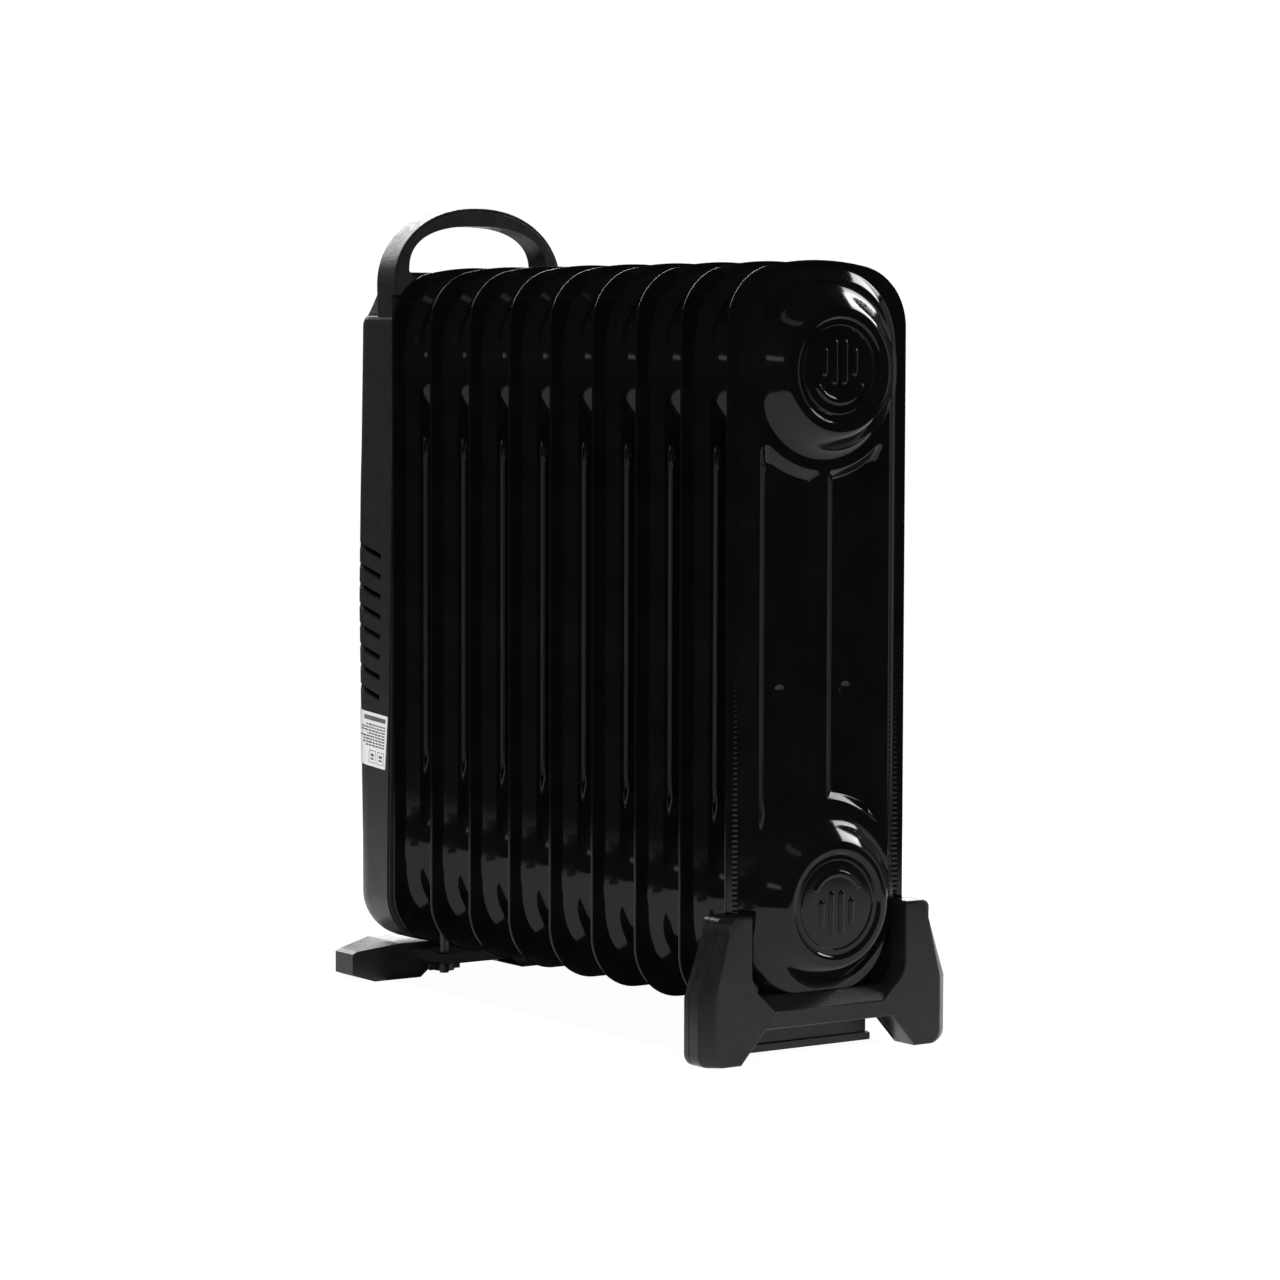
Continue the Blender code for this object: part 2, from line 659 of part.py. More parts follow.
# ---------------------------------------------------------------- controls
def make_thermostat():
    back = SHELL_BACK + SHELL_WALL + FIT_GAP
    front = back + 0.016
    half = 0.015
    low, high = (back, -half, KNOB_Z - half), (front, half, KNOB_Z + half)
    body = box_object("thermostat_body", low, high, BAKELITE)
    clear = SHAFT_RADIUS + FIT_GAP
    bore = turned_object("bore", [(back - 0.01, clear), (front - 0.004, clear)], STEEL)
    bore.location = (0, 0, KNOB_Z)
    combine(body, bore, "DIFFERENCE")

    tip = SHELL_BACK - FIT_GAP - KNOB_DEPTH + 0.003
    root = front - 0.005
    shaft = [(tip, SHAFT_RADIUS), (root, SHAFT_RADIUS)]
    turned_object("thermostat_shaft", shaft, STEEL, (0, 0, KNOB_Z), sides=12)

    skirt = SHELL_BACK - FIT_GAP
    profile = [(KNOB_BACK, 0.0150), (KNOB_BACK + 0.001, 0.0162), (skirt - 0.0035, 0.0175)]
    profile += [(skirt - 0.0035, KNOB_RADIUS), (skirt, KNOB_RADIUS)]
    knob = turned_object("thermostat_knob", profile, KNOB_PLASTIC, (0, 0, KNOB_Z), sides=32)
    bore = turned_object("bore", [(tip - FIT_GAP, clear), (skirt + 0.01, clear)], STEEL)
    bore.location = (0, 0, KNOB_Z)
    combine(knob, bore, "DIFFERENCE")
    low, high = (KNOB_BACK - 0.01, -0.0008, KNOB_Z + 0.006), (KNOB_BACK + 0.0012, 0.0008, KNOB_Z + 0.02)
    combine(knob, box_object("pointer_notch", low, high, STEEL), "DIFFERENCE")


def make_rocker_switches():
    """Two lit rockers, each on its own pins in a square case."""
    for number, side in enumerate((-1, 1), 1):
        y = side * ROCKER_Y
        name = f"rocker_switch_{number}_case"
        low = (SHELL_BACK - FIT_GAP, y - CASE_HALF_Y, ROCKER_Z - CASE_HALF_Z)
        high = (SHELL_BACK + CASE_DEPTH, y + CASE_HALF_Y, ROCKER_Z + CASE_HALF_Z)
        case = box_object(name, low, high, BAKELITE)
        lip_low = (SHELL_BACK - FIT_GAP - CASE_LIP, low[1] - 0.0015, low[2] - 0.0015)
        lip_high = (SHELL_BACK - FIT_GAP, high[1] + 0.0015, high[2] + 0.0015)
        combine(case, box_object("lip", lip_low, lip_high, BAKELITE), "UNION")
        pocket_low = (SHELL_BACK - 0.01, low[1] + CASE_WALL, low[2] + CASE_WALL)
        pocket_high = (SHELL_BACK + 0.008, high[1] - CASE_WALL, high[2] - CASE_WALL)
        combine(case, box_object("pocket", pocket_low, pocket_high, BAKELITE), "DIFFERENCE")
        span = CASE_HALF_Y + 0.005
        across = [(-span, PIN_RADIUS + FIT_GAP), (span, PIN_RADIUS + FIT_GAP)]
        hole = turned_object("hole", across, STEEL, axis="Y", sides=12)
        hole.location = (ROCKER_AXIS_X, y, ROCKER_Z)
        combine(case, hole, "DIFFERENCE")
        make_rocker(f"rocker_{number}", y)


def make_rocker(name, y):
    """One rocker, tilted to off, with its origin on the pivot."""
    half = CASE_HALF_Y - CASE_WALL - FIT_GAP
    reach = CASE_HALF_Z - CASE_WALL - 0.0018
    outline = [(-0.0062, -reach), (-0.0046, 0.0), (-0.0062, reach)]
    outline += [(0.001, reach), (0.0035, 0.0), (0.001, -reach)]
    bm = bmesh.new()
    turn = Matrix.Rotation(-ROCKER_TILT, 3, "Y")
    ends = []
    for edge in (-half, half):
        ends.append([bm.verts.new(turn @ Vector((x, edge, z))) for x, z in outline])
    bridge(bm, ends[0], ends[1])
    bm.faces.new(ends[0])
    bm.faces.new(ends[1])
    rocker = finish(name, bm, LAMP_RED, (ROCKER_AXIS_X, y, ROCKER_Z), smooth=15)
    pin = CASE_HALF_Y - 0.0002
    rod = [(-pin, PIN_RADIUS), (pin, PIN_RADIUS)]
    pins = turned_object("pins", rod, LAMP_RED, axis="Y", sides=12)
    pins.location = (ROCKER_AXIS_X, y, ROCKER_Z)
    combine(rocker, pins, "UNION")


def make_electrics():
    """Terminal block, thermal cut-out and the bush that the cord goes through."""
    back = SHELL_BACK + SHELL_WALL + FIT_GAP
    low, high = (back, -0.018, TERMINAL_Z - 0.008), (back + 0.013, 0.018, TERMINAL_Z + 0.008)
    terminal = box_object("terminal_block", low, high, BAKELITE)
    for y in (-0.011, 0.0, 0.011):
        low = (back + 0.006, y - 0.003, TERMINAL_Z - 0.004)
        high = (back + 0.02, y + 0.003, TERMINAL_Z + 0.004)
        combine(terminal, box_object("well", low, high, BAKELITE), "DIFFERENCE")
    disc = [(back, 0.008), (back + 0.006, 0.008), (back + 0.006, 0.005), (back + 0.009, 0.005)]
    turned_object("thermal_cutout", disc, STEEL, (0, 0, CUTOUT_Z), sides=16)

    mouth, seat = SHELL_BACK - 0.006, SHELL_BACK - FIT_GAP
    tail = SHELL_BACK + SHELL_WALL + 0.004
    flare = [(mouth, 0.0078), (mouth + 0.0008, 0.0088), (seat, 0.0088), (seat, 0.0060)]
    flare += [(tail, 0.0060), (tail, 0.0040), (mouth, 0.0040)]
    turned_object("cord_inlet", flare, RUBBER, (0, INLET_Y, INLET_Z), bore=True)


def shell_side(x, z, lift):
    """Y of a point just off the housing's -Y side, on the flat or on the round behind it."""
    radius = shell_round(z)
    past = SHELL_BACK + radius - x
    half = housing_half(z)
    if past > 0:
        half -= radius - math.sqrt(radius**2 - past**2)
    return -half - lift


def make_rating_plate():
    """Thin label, set slightly askew, that follows the side and the round behind it."""
    width, height = PLATE_SIZE
    corner_x, corner_z = PLATE_CORNER
    c, s = math.cos(PLATE_TILT), math.sin(PLATE_TILT)
    bm = bmesh.new()
    rows = []
    steps = 11
    for i in range(steps + 1):
        along = width * i / steps
        ring = []
        downs = [height * j / 5 for j in range(6)]
        edge = [(down, 0.00015) for down in downs] + [(down, 0.00045) for down in reversed(downs)]
        for down, lift in edge:
            x = corner_x - along * c - down * s
            z = corner_z + along * s - down * c
            ring.append(bm.verts.new((x, shell_side(x, z, lift), z)))
        rows.append(ring)
    for first, second in zip(rows, rows[1:]):
        bridge(bm, first, second)
    bm.faces.new(rows[0])
    bm.faces.new(rows[-1])
    finish("rating_plate", bm, PAPER)


# ---------------------------------------------------------------- feet
def foot_outline(pull):
    """Front view of the H-shaped foot; pull draws in the outer edges only."""
    low = -FLOOR_DROP
    outer = FOOT_HALF - pull
    points = [(0.0, -0.004), (0.0385, -0.004), (0.053, low), (outer - 0.006, low), (outer, low + 0.006)]
    points += [(outer, 0.013), (0.0625 - pull * 0.55, FOOT_ARM_TOP - 0.003)]
    points += [(0.060 - pull * 0.45, FOOT_ARM_TOP), (FOOT_ARM_INNER, FOOT_ARM_TOP)]
    points += arc(FOOT_ARM_INNER - 0.016, 0.0245, 0.016, 0, -58, 3)
    points += [(0.033, 0.0045), (0.0, 0.0045)]
    return mirrored(points)


def make_near_foot():
    """Two halves that grip the welded edge of the last fin from both sides."""
    bm = bmesh.new()
    front = [loop(bm, foot_outline(0.0), 0.5 * FIT_GAP)]
    front.append(loop(bm, foot_outline(0.0), FOOT_FRONT - 0.005))
    front.append(loop(bm, foot_outline(FOOT_CHAMFER), FOOT_FRONT))
    for first, second in zip(front, front[1:]):
        bridge(bm, first, second)
    fill(bm, [front[0]])
    fill(bm, [front[-1]])
    foot = finish("near_foot_front", bm, FOOT_PLASTIC)
    pocket = SHEET + FIT_GAP
    combine(foot, fin_cutter(0.0004, -pocket, pocket), "DIFFERENCE")

    rear = prism_object("near_foot_rear", foot_outline(0.0), FOOT_REAR, -0.5 * FIT_GAP, FOOT_PLASTIC)
    combine(rear, fin_cutter(0.0004, -pocket, pocket), "DIFFERENCE")


def make_clamp(name, x0, x1, half, legs_x):
    """Plate under the lower header with a lip along its front, drilled for a U-bolt."""
    plate = box_object(name, (x0, -half, -0.0145), (x1, half, -0.0045), FOOT_PLASTIC)
    side = half + 0.0015
    lip = box_object("lip", (x1 - 0.0035, -side, -0.0180), (x1, side, -0.0140), FOOT_PLASTIC)
    combine(plate, lip, "UNION")
    drill_legs(plate, legs_x)


def drill_legs(plate, legs_x):
    for side in (-1, 1):
        radius = U_BOLT_WIRE + FIT_GAP
        hole = turned_object("hole", [(-0.05, radius), (0.05, radius)], STEEL, axis="Z", sides=12)
        hole.location = (legs_x, side * U_BOLT_RADIUS, 0)
        combine(plate, hole, "DIFFERENCE")


def make_u_bolt(name, x, foot):
    """Wire bent over the lower header, with its two legs pointing down."""
    bend = arc(0, HUB_LOWER_Z, U_BOLT_RADIUS, 0, 180, 12)
    route = [(U_BOLT_RADIUS, foot)] + bend + [(-U_BOLT_RADIUS, foot)]
    wire(name, [(0, y, z) for y, z in route], U_BOLT_WIRE, (x, 0, 0))


def make_wing_nut(name, x, y, top):
    """Threaded sleeve with two wings, on a U-bolt leg."""
    height = 0.0035
    nut = turned_object(name, [(0.0, 0.0055), (height, 0.0050)], STEEL, axis="Z", sides=12)
    wings = box_object("wings", (-0.0008, -0.0095, 0.0004), (0.0008, 0.0095, height + 0.0002), STEEL)
    combine(nut, wings, "UNION")
    clear = U_BOLT_WIRE + FIT_GAP
    bore = turned_object("bore", [(-0.01, clear), (0.02, clear)], STEEL, axis="Z", sides=12)
    combine(nut, bore, "DIFFERENCE")
    nut.location = (x, y, top - height - 2 * FIT_GAP)


def make_far_foot():
    """Low bar under the housing, with raised blocks at its ends and a tongue under the first fins."""
    half = FOOT_HALF + 0.001
    low = -FLOOR_DROP
    points = [(0.0, -0.0145), (0.026, -0.0145), (0.033, low), (0.062, low), (half, low + 0.0045)]
    points += [(half, -0.0042), (half - 0.003, -0.0028), (0.046, -0.0005), (0.0, -0.0005)]
    bm = bmesh.new()
    front = loop(bm, mirrored(points), FAR_FOOT_FRONT)
    rear = loop(bm, mirrored(points), FAR_FOOT_REAR)
    for vert in rear:
        if abs(vert.co.y) > half - 0.004:
            vert.co.x += 0.016
    bridge(bm, front, rear)
    fill(bm, [front])
    fill(bm, [rear])
    foot = finish("far_foot", bm, FOOT_PLASTIC)
    tongue_front = FIRST_FIN_X + FIN_PITCH / 2 + 0.0065
    low_corner = (FAR_FOOT_FRONT - 0.004, -0.0385, FAR_NUT_Z)
    tongue = box_object("tongue", low_corner, (tongue_front, 0.0385, -0.0035), FOOT_PLASTIC)
    combine(foot, tongue, "UNION")
    drill_legs(foot, FIRST_FIN_X + FIN_PITCH / 2)


def make_feet():
    make_near_foot()
    near_x = -FIN_PITCH / 2
    far_x = FIRST_FIN_X + FIN_PITCH / 2
    make_clamp("near_foot_clamp_plate", near_x - 0.010, -0.0055, 0.0375, near_x)
    make_u_bolt("near_foot_u_bolt", near_x, -0.0182)
    make_u_bolt("far_foot_u_bolt", far_x, FAR_NUT_Z - 0.0056)
    make_far_foot()
    for number, side in enumerate((-1, 1), 1):
        y = side * U_BOLT_RADIUS
        make_wing_nut(f"near_foot_wing_nut_{number}", near_x, y, -0.0145)
        make_wing_nut(f"far_foot_wing_nut_{number}", far_x, y, FAR_NUT_Z)


# ---------------------------------------------------------------- build
clear_scene()
HEATER = bpy.data.objects.new("heater", None)
bpy.context.scene.collection.objects.link(HEATER)
HEATER.location = (-MIDDLE_X, 0, FLOOR_DROP)

ENAMEL = material("black_enamel", (0.008, 0.008, 0.009), 0.12)
PLASTIC = material("housing_plastic", (0.030, 0.028, 0.030), 0.5)
FOOT_PLASTIC = material("foot_plastic", (0.026, 0.025, 0.026), 0.45)
KNOB_PLASTIC = material("knob_plastic", (0.020, 0.020, 0.021), 0.4)
BAKELITE = material("bakelite", (0.015, 0.013, 0.012), 0.35)
LAMP_RED = material("lamp_red", (0.55, 0.02, 0.015), 0.25)
STEEL = material("zinc_steel", (0.62, 0.62, 0.64), 0.35, 1.0)
BRASS = material("brass", (0.70, 0.50, 0.22), 0.35, 1.0)
RUBBER = material("rubber", (0.018, 0.018, 0.018), 0.8)
PAPER = material("label_film", (0.80, 0.80, 0.80), 0.5)

make_fins()
make_element()
make_bracket()
make_front_frame()
make_shell()
make_housing_screws()
make_thermostat()
make_rocker_switches()
make_electrics()
make_rating_plate()
make_feet()
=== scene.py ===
import math
import random

import bmesh
import bpy
import numpy as np
from mathutils import Matrix, Vector
from mathutils.geometry import delaunay_2d_cdt


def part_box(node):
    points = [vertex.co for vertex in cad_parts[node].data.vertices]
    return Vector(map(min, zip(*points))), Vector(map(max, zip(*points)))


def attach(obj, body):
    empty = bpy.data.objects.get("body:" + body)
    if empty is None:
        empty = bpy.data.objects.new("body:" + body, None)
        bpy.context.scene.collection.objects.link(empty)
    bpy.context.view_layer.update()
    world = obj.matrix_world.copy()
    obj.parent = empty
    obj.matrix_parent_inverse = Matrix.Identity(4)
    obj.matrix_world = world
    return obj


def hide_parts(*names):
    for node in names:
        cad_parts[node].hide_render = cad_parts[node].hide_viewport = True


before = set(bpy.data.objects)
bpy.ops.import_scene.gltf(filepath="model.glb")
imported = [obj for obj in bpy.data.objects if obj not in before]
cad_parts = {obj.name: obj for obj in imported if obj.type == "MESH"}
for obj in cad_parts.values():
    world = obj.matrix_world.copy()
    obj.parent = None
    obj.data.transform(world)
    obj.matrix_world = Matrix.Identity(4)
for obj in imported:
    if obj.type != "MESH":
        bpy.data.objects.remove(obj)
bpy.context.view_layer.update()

# ---------------- places from the frame
# Local coordinates: X from the seam plane of the last fin, Y across, Z from the fins' lowest edge.
FIN_COUNT = 9


def seam_plane(number):
    low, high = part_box(f"fin_{number}")
    return (low.x + high.x) / 2


LAST_LOW, LAST_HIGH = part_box(f"fin_{FIN_COUNT}")
ORIGIN = Vector((seam_plane(FIN_COUNT), 0, LAST_LOW.z))
FIN_HALF = (LAST_HIGH.y - LAST_LOW.y) / 2
FIN_HEIGHT = LAST_HIGH.z - LAST_LOW.z
HUB_FACE_X = LAST_HIGH.x - ORIGIN.x
FIRST_X = seam_plane(1) - ORIGIN.x
SHELL_LOW, SHELL_HIGH = [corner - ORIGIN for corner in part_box("housing_shell")]
SHELL_BACK = SHELL_LOW.x
HANDLE_FRONT = SHELL_HIGH.x
HANDLE_TOP = SHELL_HIGH.z
HOUSING_HALF = SHELL_HIGH.y
FLOOR = -ORIGIN.z


# ---------------- pieces
def link_object(name, data):
    obj = bpy.data.objects.new(name, data)
    bpy.context.scene.collection.objects.link(obj)
    return obj


def add_piece(name, mesh, material, nodes=(), body="heater", at=ORIGIN):
    """Link a mesh at its place, hand it its material and tie it to the frame."""
    obj = link_object(name, mesh)
    obj.location = at
    if not mesh.materials:
        mesh.materials.append(material)
    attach(obj, body)
    if nodes:
        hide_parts(*nodes)
    return obj


def to_mesh(name, bm, smooth=35):
    bmesh.ops.remove_doubles(bm, verts=bm.verts, dist=1e-7)
    bmesh.ops.recalc_face_normals(bm, faces=bm.faces)
    mesh = bpy.data.meshes.new(name)
    bm.to_mesh(mesh)
    bm.free()
    mesh.shade_smooth()
    mesh.set_sharp_from_angle(angle=math.radians(smooth))
    return mesh


def weighted_normals(obj):
    modifier = obj.modifiers.new("even_shading", "WEIGHTED_NORMAL")
    modifier.keep_sharp = True
    modifier.weight = 100


def round_edges(obj, width, segments=2, angle=35):
    """Soften an object's sharp edges without touching its mesh."""
    modifier = obj.modifiers.new("rounded_edges", "BEVEL")
    modifier.width = width
    modifier.segments = segments
    modifier.limit_method = "ANGLE"
    modifier.angle_limit = math.radians(angle)
    modifier.use_clamp_overlap = True
    modifier.harden_normals = False
    weighted_normals(obj)


def combine(target, tool, operation):
    """Apply one exact Boolean with another mesh and give the resulting mesh."""
    first, second = link_object("target", target), link_object("tool", tool)
    modifier = first.modifiers.new(operation, "BOOLEAN")
    modifier.object = second
    modifier.operation = operation
    modifier.solver = "EXACT"
    bpy.context.view_layer.update()
    graph = bpy.context.evaluated_depsgraph_get()
    mesh = bpy.data.meshes.new_from_object(first.evaluated_get(graph))
    for obj in (first, second):
        bpy.data.objects.remove(obj, do_unlink=True)
    mesh.shade_smooth()
    mesh.set_sharp_from_angle(angle=math.radians(30))
    return mesh


def cut(target, tool):
    return combine(target, tool, "DIFFERENCE")


# ---------------- outlines
def arc(y, z, radius, start, end, steps):
    """Points on an arc, angles in degrees."""
    angles = [math.radians(start + (end - start) * i / steps) for i in range(steps + 1)]
    return [(y + radius * math.cos(a), z + radius * math.sin(a)) for a in angles]


def arch(half, spring, top, power, steps=56):
    """Points over a rounded arch from +Y to -Y."""
    points = []
    for i in range(steps + 1):
        angle = math.pi * i / steps
        c, s = math.cos(angle), math.sin(angle)
        y = half * math.copysign(abs(c) ** (2 / power), c)
        points.append((y, spring + (top - spring) * abs(s) ** (2 / power)))
    return points


def mirrored(points):
    """Close an outline given for +Y, bottom to top, with its mirror image."""
    return points + [(-y, z) for y, z in reversed(points) if abs(y) > 1e-9]


def loop(bm, points, x):
    return [bm.verts.new((x, y, z)) for y, z in points]


def bridge(bm, first, second):
    for i in range(len(first)):
        j = (i + 1) % len(first)
        bm.faces.new((first[i], first[j], second[j], second[i]))


def fill(bm, loops):
    """Fill the flat area between an outer ring and the rings inside it."""
    edges = []
    for ring in loops:
        for i, vert in enumerate(ring):
            after = ring[(i + 1) % len(ring)]
            edges.append(bm.edges.get((vert, after)) or bm.edges.new((vert, after)))
    bmesh.ops.triangle_fill(bm, use_beauty=True, edges=edges)


def wall(bm, rings):
    for first, second in zip(rings, rings[1:]):
        bridge(bm, first, second)


def close(bm, rings, whole=False):
    """Walls between successive rings, and both ends; whole makes each end a single face."""
    wall(bm, rings)
    for ring in (rings[0], rings[-1]):
        if whole:
            bm.faces.new(ring)
        else:
            fill(bm, [ring])


def rounded_prism(outlines, x0, x1, r0, r1, rise=0.0, steps=5):
    """Extrude outlines from x0 to x1 with edges of radius r0 and r1; each takes an inset."""
    bm = bmesh.new()
    profile = []
    for i in range(steps + 1):
        angle = math.pi / 2 * i / steps
        profile.append((x0 + r0 * (1 - math.sin(math.pi / 2 - angle)), r0 * (1 - math.sin(angle))))
    for i in range(steps + 1):
        angle = math.pi / 2 * i / steps
        profile.append((x1 - r1 * (1 - math.sin(angle)), r1 * (1 - math.cos(angle))))
    first_ends, last_ends = [], []
    for outline in outlines:
        rings = []
        for x, inset in profile:
            climb = rise * (x - x0) / (x1 - x0)
            rings.append(loop(bm, [(y, z + climb) for y, z in outline(inset)], x))
        wall(bm, rings)
        first_ends.append(rings[0])
        last_ends.append(rings[-1])
    fill(bm, first_ends)
    fill(bm, last_ends)
    return to_mesh("prism", bm, 30)


def prism(points, x0, x1, rise=0.0):
    bm = bmesh.new()
    near = loop(bm, points, x0)
    far = loop(bm, [(y, z + rise) for y, z in points], x1)
    close(bm, [near, far])
    return to_mesh("prism", bm)


def turned(profile, sides=64, axis="X", radius_at=None, bore=False):
    """Revolve (along, radius) points about an axis; radius_at can shape them by angle."""
    bm = bmesh.new()
    rings = []
    for along, radius in profile:
        ring = []
        for i in range(sides):
            angle = 2 * math.pi * i / sides
            r = radius_at(along, radius, angle) if radius_at else radius
            u, v = r * math.cos(angle), r * math.sin(angle)
            place = {"X": (along, u, v), "Y": (u, along, v), "Z": (u, v, along)}[axis]
            ring.append(bm.verts.new(place))
        rings.append(ring)
    wall(bm, rings)
    if bore:
        bridge(bm, rings[-1], rings[0])
    else:
        bm.faces.new(rings[0])
        bm.faces.new(rings[-1])
    return to_mesh("turned", bm)


# ---------------- materials
def new_material(name, base, roughness, metallic=0.0, level=0.5):
    """A Principled material whose colour and roughness will be driven by noise."""
    made = bpy.data.materials.new(name)
    made.use_nodes = True
    shader = made.node_tree.nodes["Principled BSDF"]
    shader.inputs["Metallic"].default_value = metallic
    shader.inputs["Specular IOR Level"].default_value = level
    coords = made.node_tree.nodes.new("ShaderNodeTexCoord").outputs["Object"]
    vary_colour(made, coords, *base)
    vary_roughness(made, coords, *roughness)
    return made, shader, coords


def noise(made, coords, scale, detail=3.0, stretch=None):
    nodes, links = made.node_tree.nodes, made.node_tree.links
    if stretch:
        mapping = nodes.new("ShaderNodeMapping")
        mapping.inputs["Scale"].default_value = stretch
        links.new(coords, mapping.inputs["Vector"])
        coords = mapping.outputs["Vector"]
    texture = nodes.new("ShaderNodeTexNoise")
    texture.inputs["Scale"].default_value = scale
    texture.inputs["Detail"].default_value = detail
    links.new(coords, texture.inputs["Vector"])
    return texture.outputs["Fac"]


def vary_colour(made, coords, dark, light, scale):
    nodes, links = made.node_tree.nodes, made.node_tree.links
    ramp = nodes.new("ShaderNodeValToRGB")
    ramp.color_ramp.elements[0].position = 0.35
    ramp.color_ramp.elements[1].position = 0.65
    ramp.color_ramp.elements[0].color = (*dark, 1)
    ramp.color_ramp.elements[1].color = (*light, 1)
    links.new(noise(made, coords, scale), ramp.inputs["Fac"])
    links.new(ramp.outputs["Color"], nodes["Principled BSDF"].inputs["Base Color"])


def vary_roughness(made, coords, low, high, scale):
    nodes, links = made.node_tree.nodes, made.node_tree.links
    spread = nodes.new("ShaderNodeMapRange")
    spread.inputs["From Min"].default_value = 0.3
    spread.inputs["From Max"].default_value = 0.7
    spread.inputs["To Min"].default_value = low
    spread.inputs["To Max"].default_value = high
    links.new(noise(made, coords, scale), spread.inputs["Value"])
    links.new(spread.outputs["Result"], nodes["Principled BSDF"].inputs["Roughness"])


def add_bumps(made, layers):
    """Chain bump layers of (height, strength, distance) into the shader's normal."""
    nodes, links = made.node_tree.nodes, made.node_tree.links
    before = None
    for height, strength, distance in layers:
        bump = nodes.new("ShaderNodeBump")
        bump.inputs["Strength"].default_value = strength
        bump.inputs["Distance"].default_value = distance
        links.new(height, bump.inputs["Height"])
        if before:
            links.new(before, bump.inputs["Normal"])
        before = bump.outputs["Normal"]
    links.new(before, nodes["Principled BSDF"].inputs["Normal"])


def enamel_material():
    base = ((0.0022, 0.0022, 0.0029), (0.0036, 0.0036, 0.0047), 40)
    made, _, coords = new_material("gloss_black_enamel", base, (0.07, 0.12, 60), level=0.28)
    add_bumps(made, [
        (noise(made, coords, 28, 1.0), 0.05, 0.0012),
        (noise(made, coords, 700, 2.0), 0.04, 0.0002),
    ])
    return made


def plastic_material(name, dark, light, roughness, grain, level=0.5):
    """Moulded plastic with a fine spark-eroded grain."""
    made, _, coords = new_material(name, (dark, light, 90), (*roughness, 220), level=level)
    add_bumps(made, [
        (noise(made, coords, 35, 2.0), 0.06, 0.001),
        (noise(made, coords, 2400, 2.0), grain, 0.00012),
    ])
    return made


def metal_material(name, dark, light, roughness, stretch):
    made, _, coords = new_material(name, (dark, light, 150), (*roughness, 300), metallic=1.0)
    add_bumps(made, [
        (noise(made, coords, 900, 2.0, stretch), 0.12, 0.0001),
        (noise(made, coords, 120, 3.0), 0.08, 0.0004),
    ])
    return made


ENAMEL = enamel_material()
SHELL_PLASTIC = plastic_material(
    "charcoal_housing_plastic", (0.0140, 0.0120, 0.0138), (0.0172, 0.0150, 0.0170), (0.34, 0.44), 0.4)
FOOT_PLASTIC = plastic_material(
    "charcoal_foot_plastic", (0.0075, 0.0060, 0.0073), (0.0098, 0.0080, 0.0096), (0.26, 0.36), 0.25,
    level=0.34)
KNOB_PLASTIC = plastic_material(
    "knob_moulding", (0.010, 0.010, 0.0105), (0.013, 0.013, 0.0135), (0.28, 0.36), 0.3)
BAKELITE = plastic_material(
    "switch_moulding", (0.008, 0.0075, 0.0075), (0.012, 0.011, 0.011), (0.22, 0.32), 0.15)
RUBBER = plastic_material(
    "inlet_rubber", (0.012, 0.012, 0.012), (0.02, 0.02, 0.02), (0.65, 0.8), 0.7)
ZINC = metal_material(
    "zinc_plated_steel", (0.52, 0.53, 0.55), (0.70, 0.70, 0.70), (0.24, 0.40), (1, 1, 6))
DARK_STEEL = metal_material(
    "blackened_steel", (0.035, 0.034, 0.036), (0.075, 0.072, 0.072), (0.30, 0.46), (1, 1, 6))
BRASS = metal_material("turned_brass", (0.55, 0.38, 0.14), (0.75, 0.55, 0.26), (0.22, 0.38), (1, 8, 1))
LABEL = plastic_material(
    "label_film", (0.87, 0.86, 0.86), (0.91, 0.90, 0.90), (0.38, 0.46), 0.1)
INK = plastic_material("label_ink", (0.10, 0.10, 0.10), (0.16, 0.16, 0.16), (0.4, 0.5), 0.1)
WHITE_MARK = plastic_material(
    "dial_print", (0.62, 0.62, 0.62), (0.72, 0.72, 0.72), (0.4, 0.5), 0.1)


def lamp_material():
    base = ((0.34, 0.006, 0.006), (0.46, 0.012, 0.010), 200)
    made, shader, coords = new_material("lamp_red_plastic", base, (0.08, 0.16, 200))
    shader.inputs["Transmission Weight"].default_value = 0.25
    shader.inputs["Coat Weight"].default_value = 0.5
    shader.inputs["Coat Roughness"].default_value = 0.05
    add_bumps(made, [(noise(made, coords, 300, 2.0), 0.05, 0.0003)])
    return made


LAMP = lamp_material()

# ---------------- fins
SHEET = 0.0008
RAISED_HALF = 0.046
RAISED_LOW = 0.005
RAISED_HIGH = 0.3605
RAISED_HIGH_HOUSED = 0.3565      # lower where the housing's frame lies in front of it
RAISED_RADIUS = 0.036
CHANNEL_X = 0.006
EDGE_SLOPE = 0.0055
PANEL_FLOOR_X = 0.0021
PANEL_SLOPE = 0.0044
PANEL_INNER = 0.0027
PANEL_OUTER = 0.038
PANEL_RINGS = {"upper": 0.0485, "lower": 0.0495}
CORNER_BLEND = 0.0075
PRESS_ROUND = 0.13               # rounding at both ends of a pressed slope, in slope widths
HUB_UPPER, HUB_LOWER = 0.312, 0.0545
HUB_RIM = 0.0305
HUB_FLANK = 1.22                 # slope of a hub's flank
HUB_RIM_ROUND = 0.0013
HUB_FILLET = 0.004
DIMPLES = [(-0.0235, 0.157), (0.0165, 0.157)]
DIMPLE_RADIUS, DIMPLE_DEPTH = 0.0048, 0.0006
TOOTH_PITCH = 0.0025
TOOTH_BAND = (0.0468, 0.0505)
TOOTH_DEPTH = 0.00011
TOOTH_Z, TOOTH_FADE = (0.030, 0.330), 0.004
BADGE_DISC = 0.0214
BADGE_GROOVE = (0.0214, 0.0247)
BADGE_DEPTH = 0.0012
BADGE_EDGE = 0.0006
BAR_RADIUS = 0.0019
BADGE_BOW = 0.0150
BADGE_SWEEP = math.radians(58)
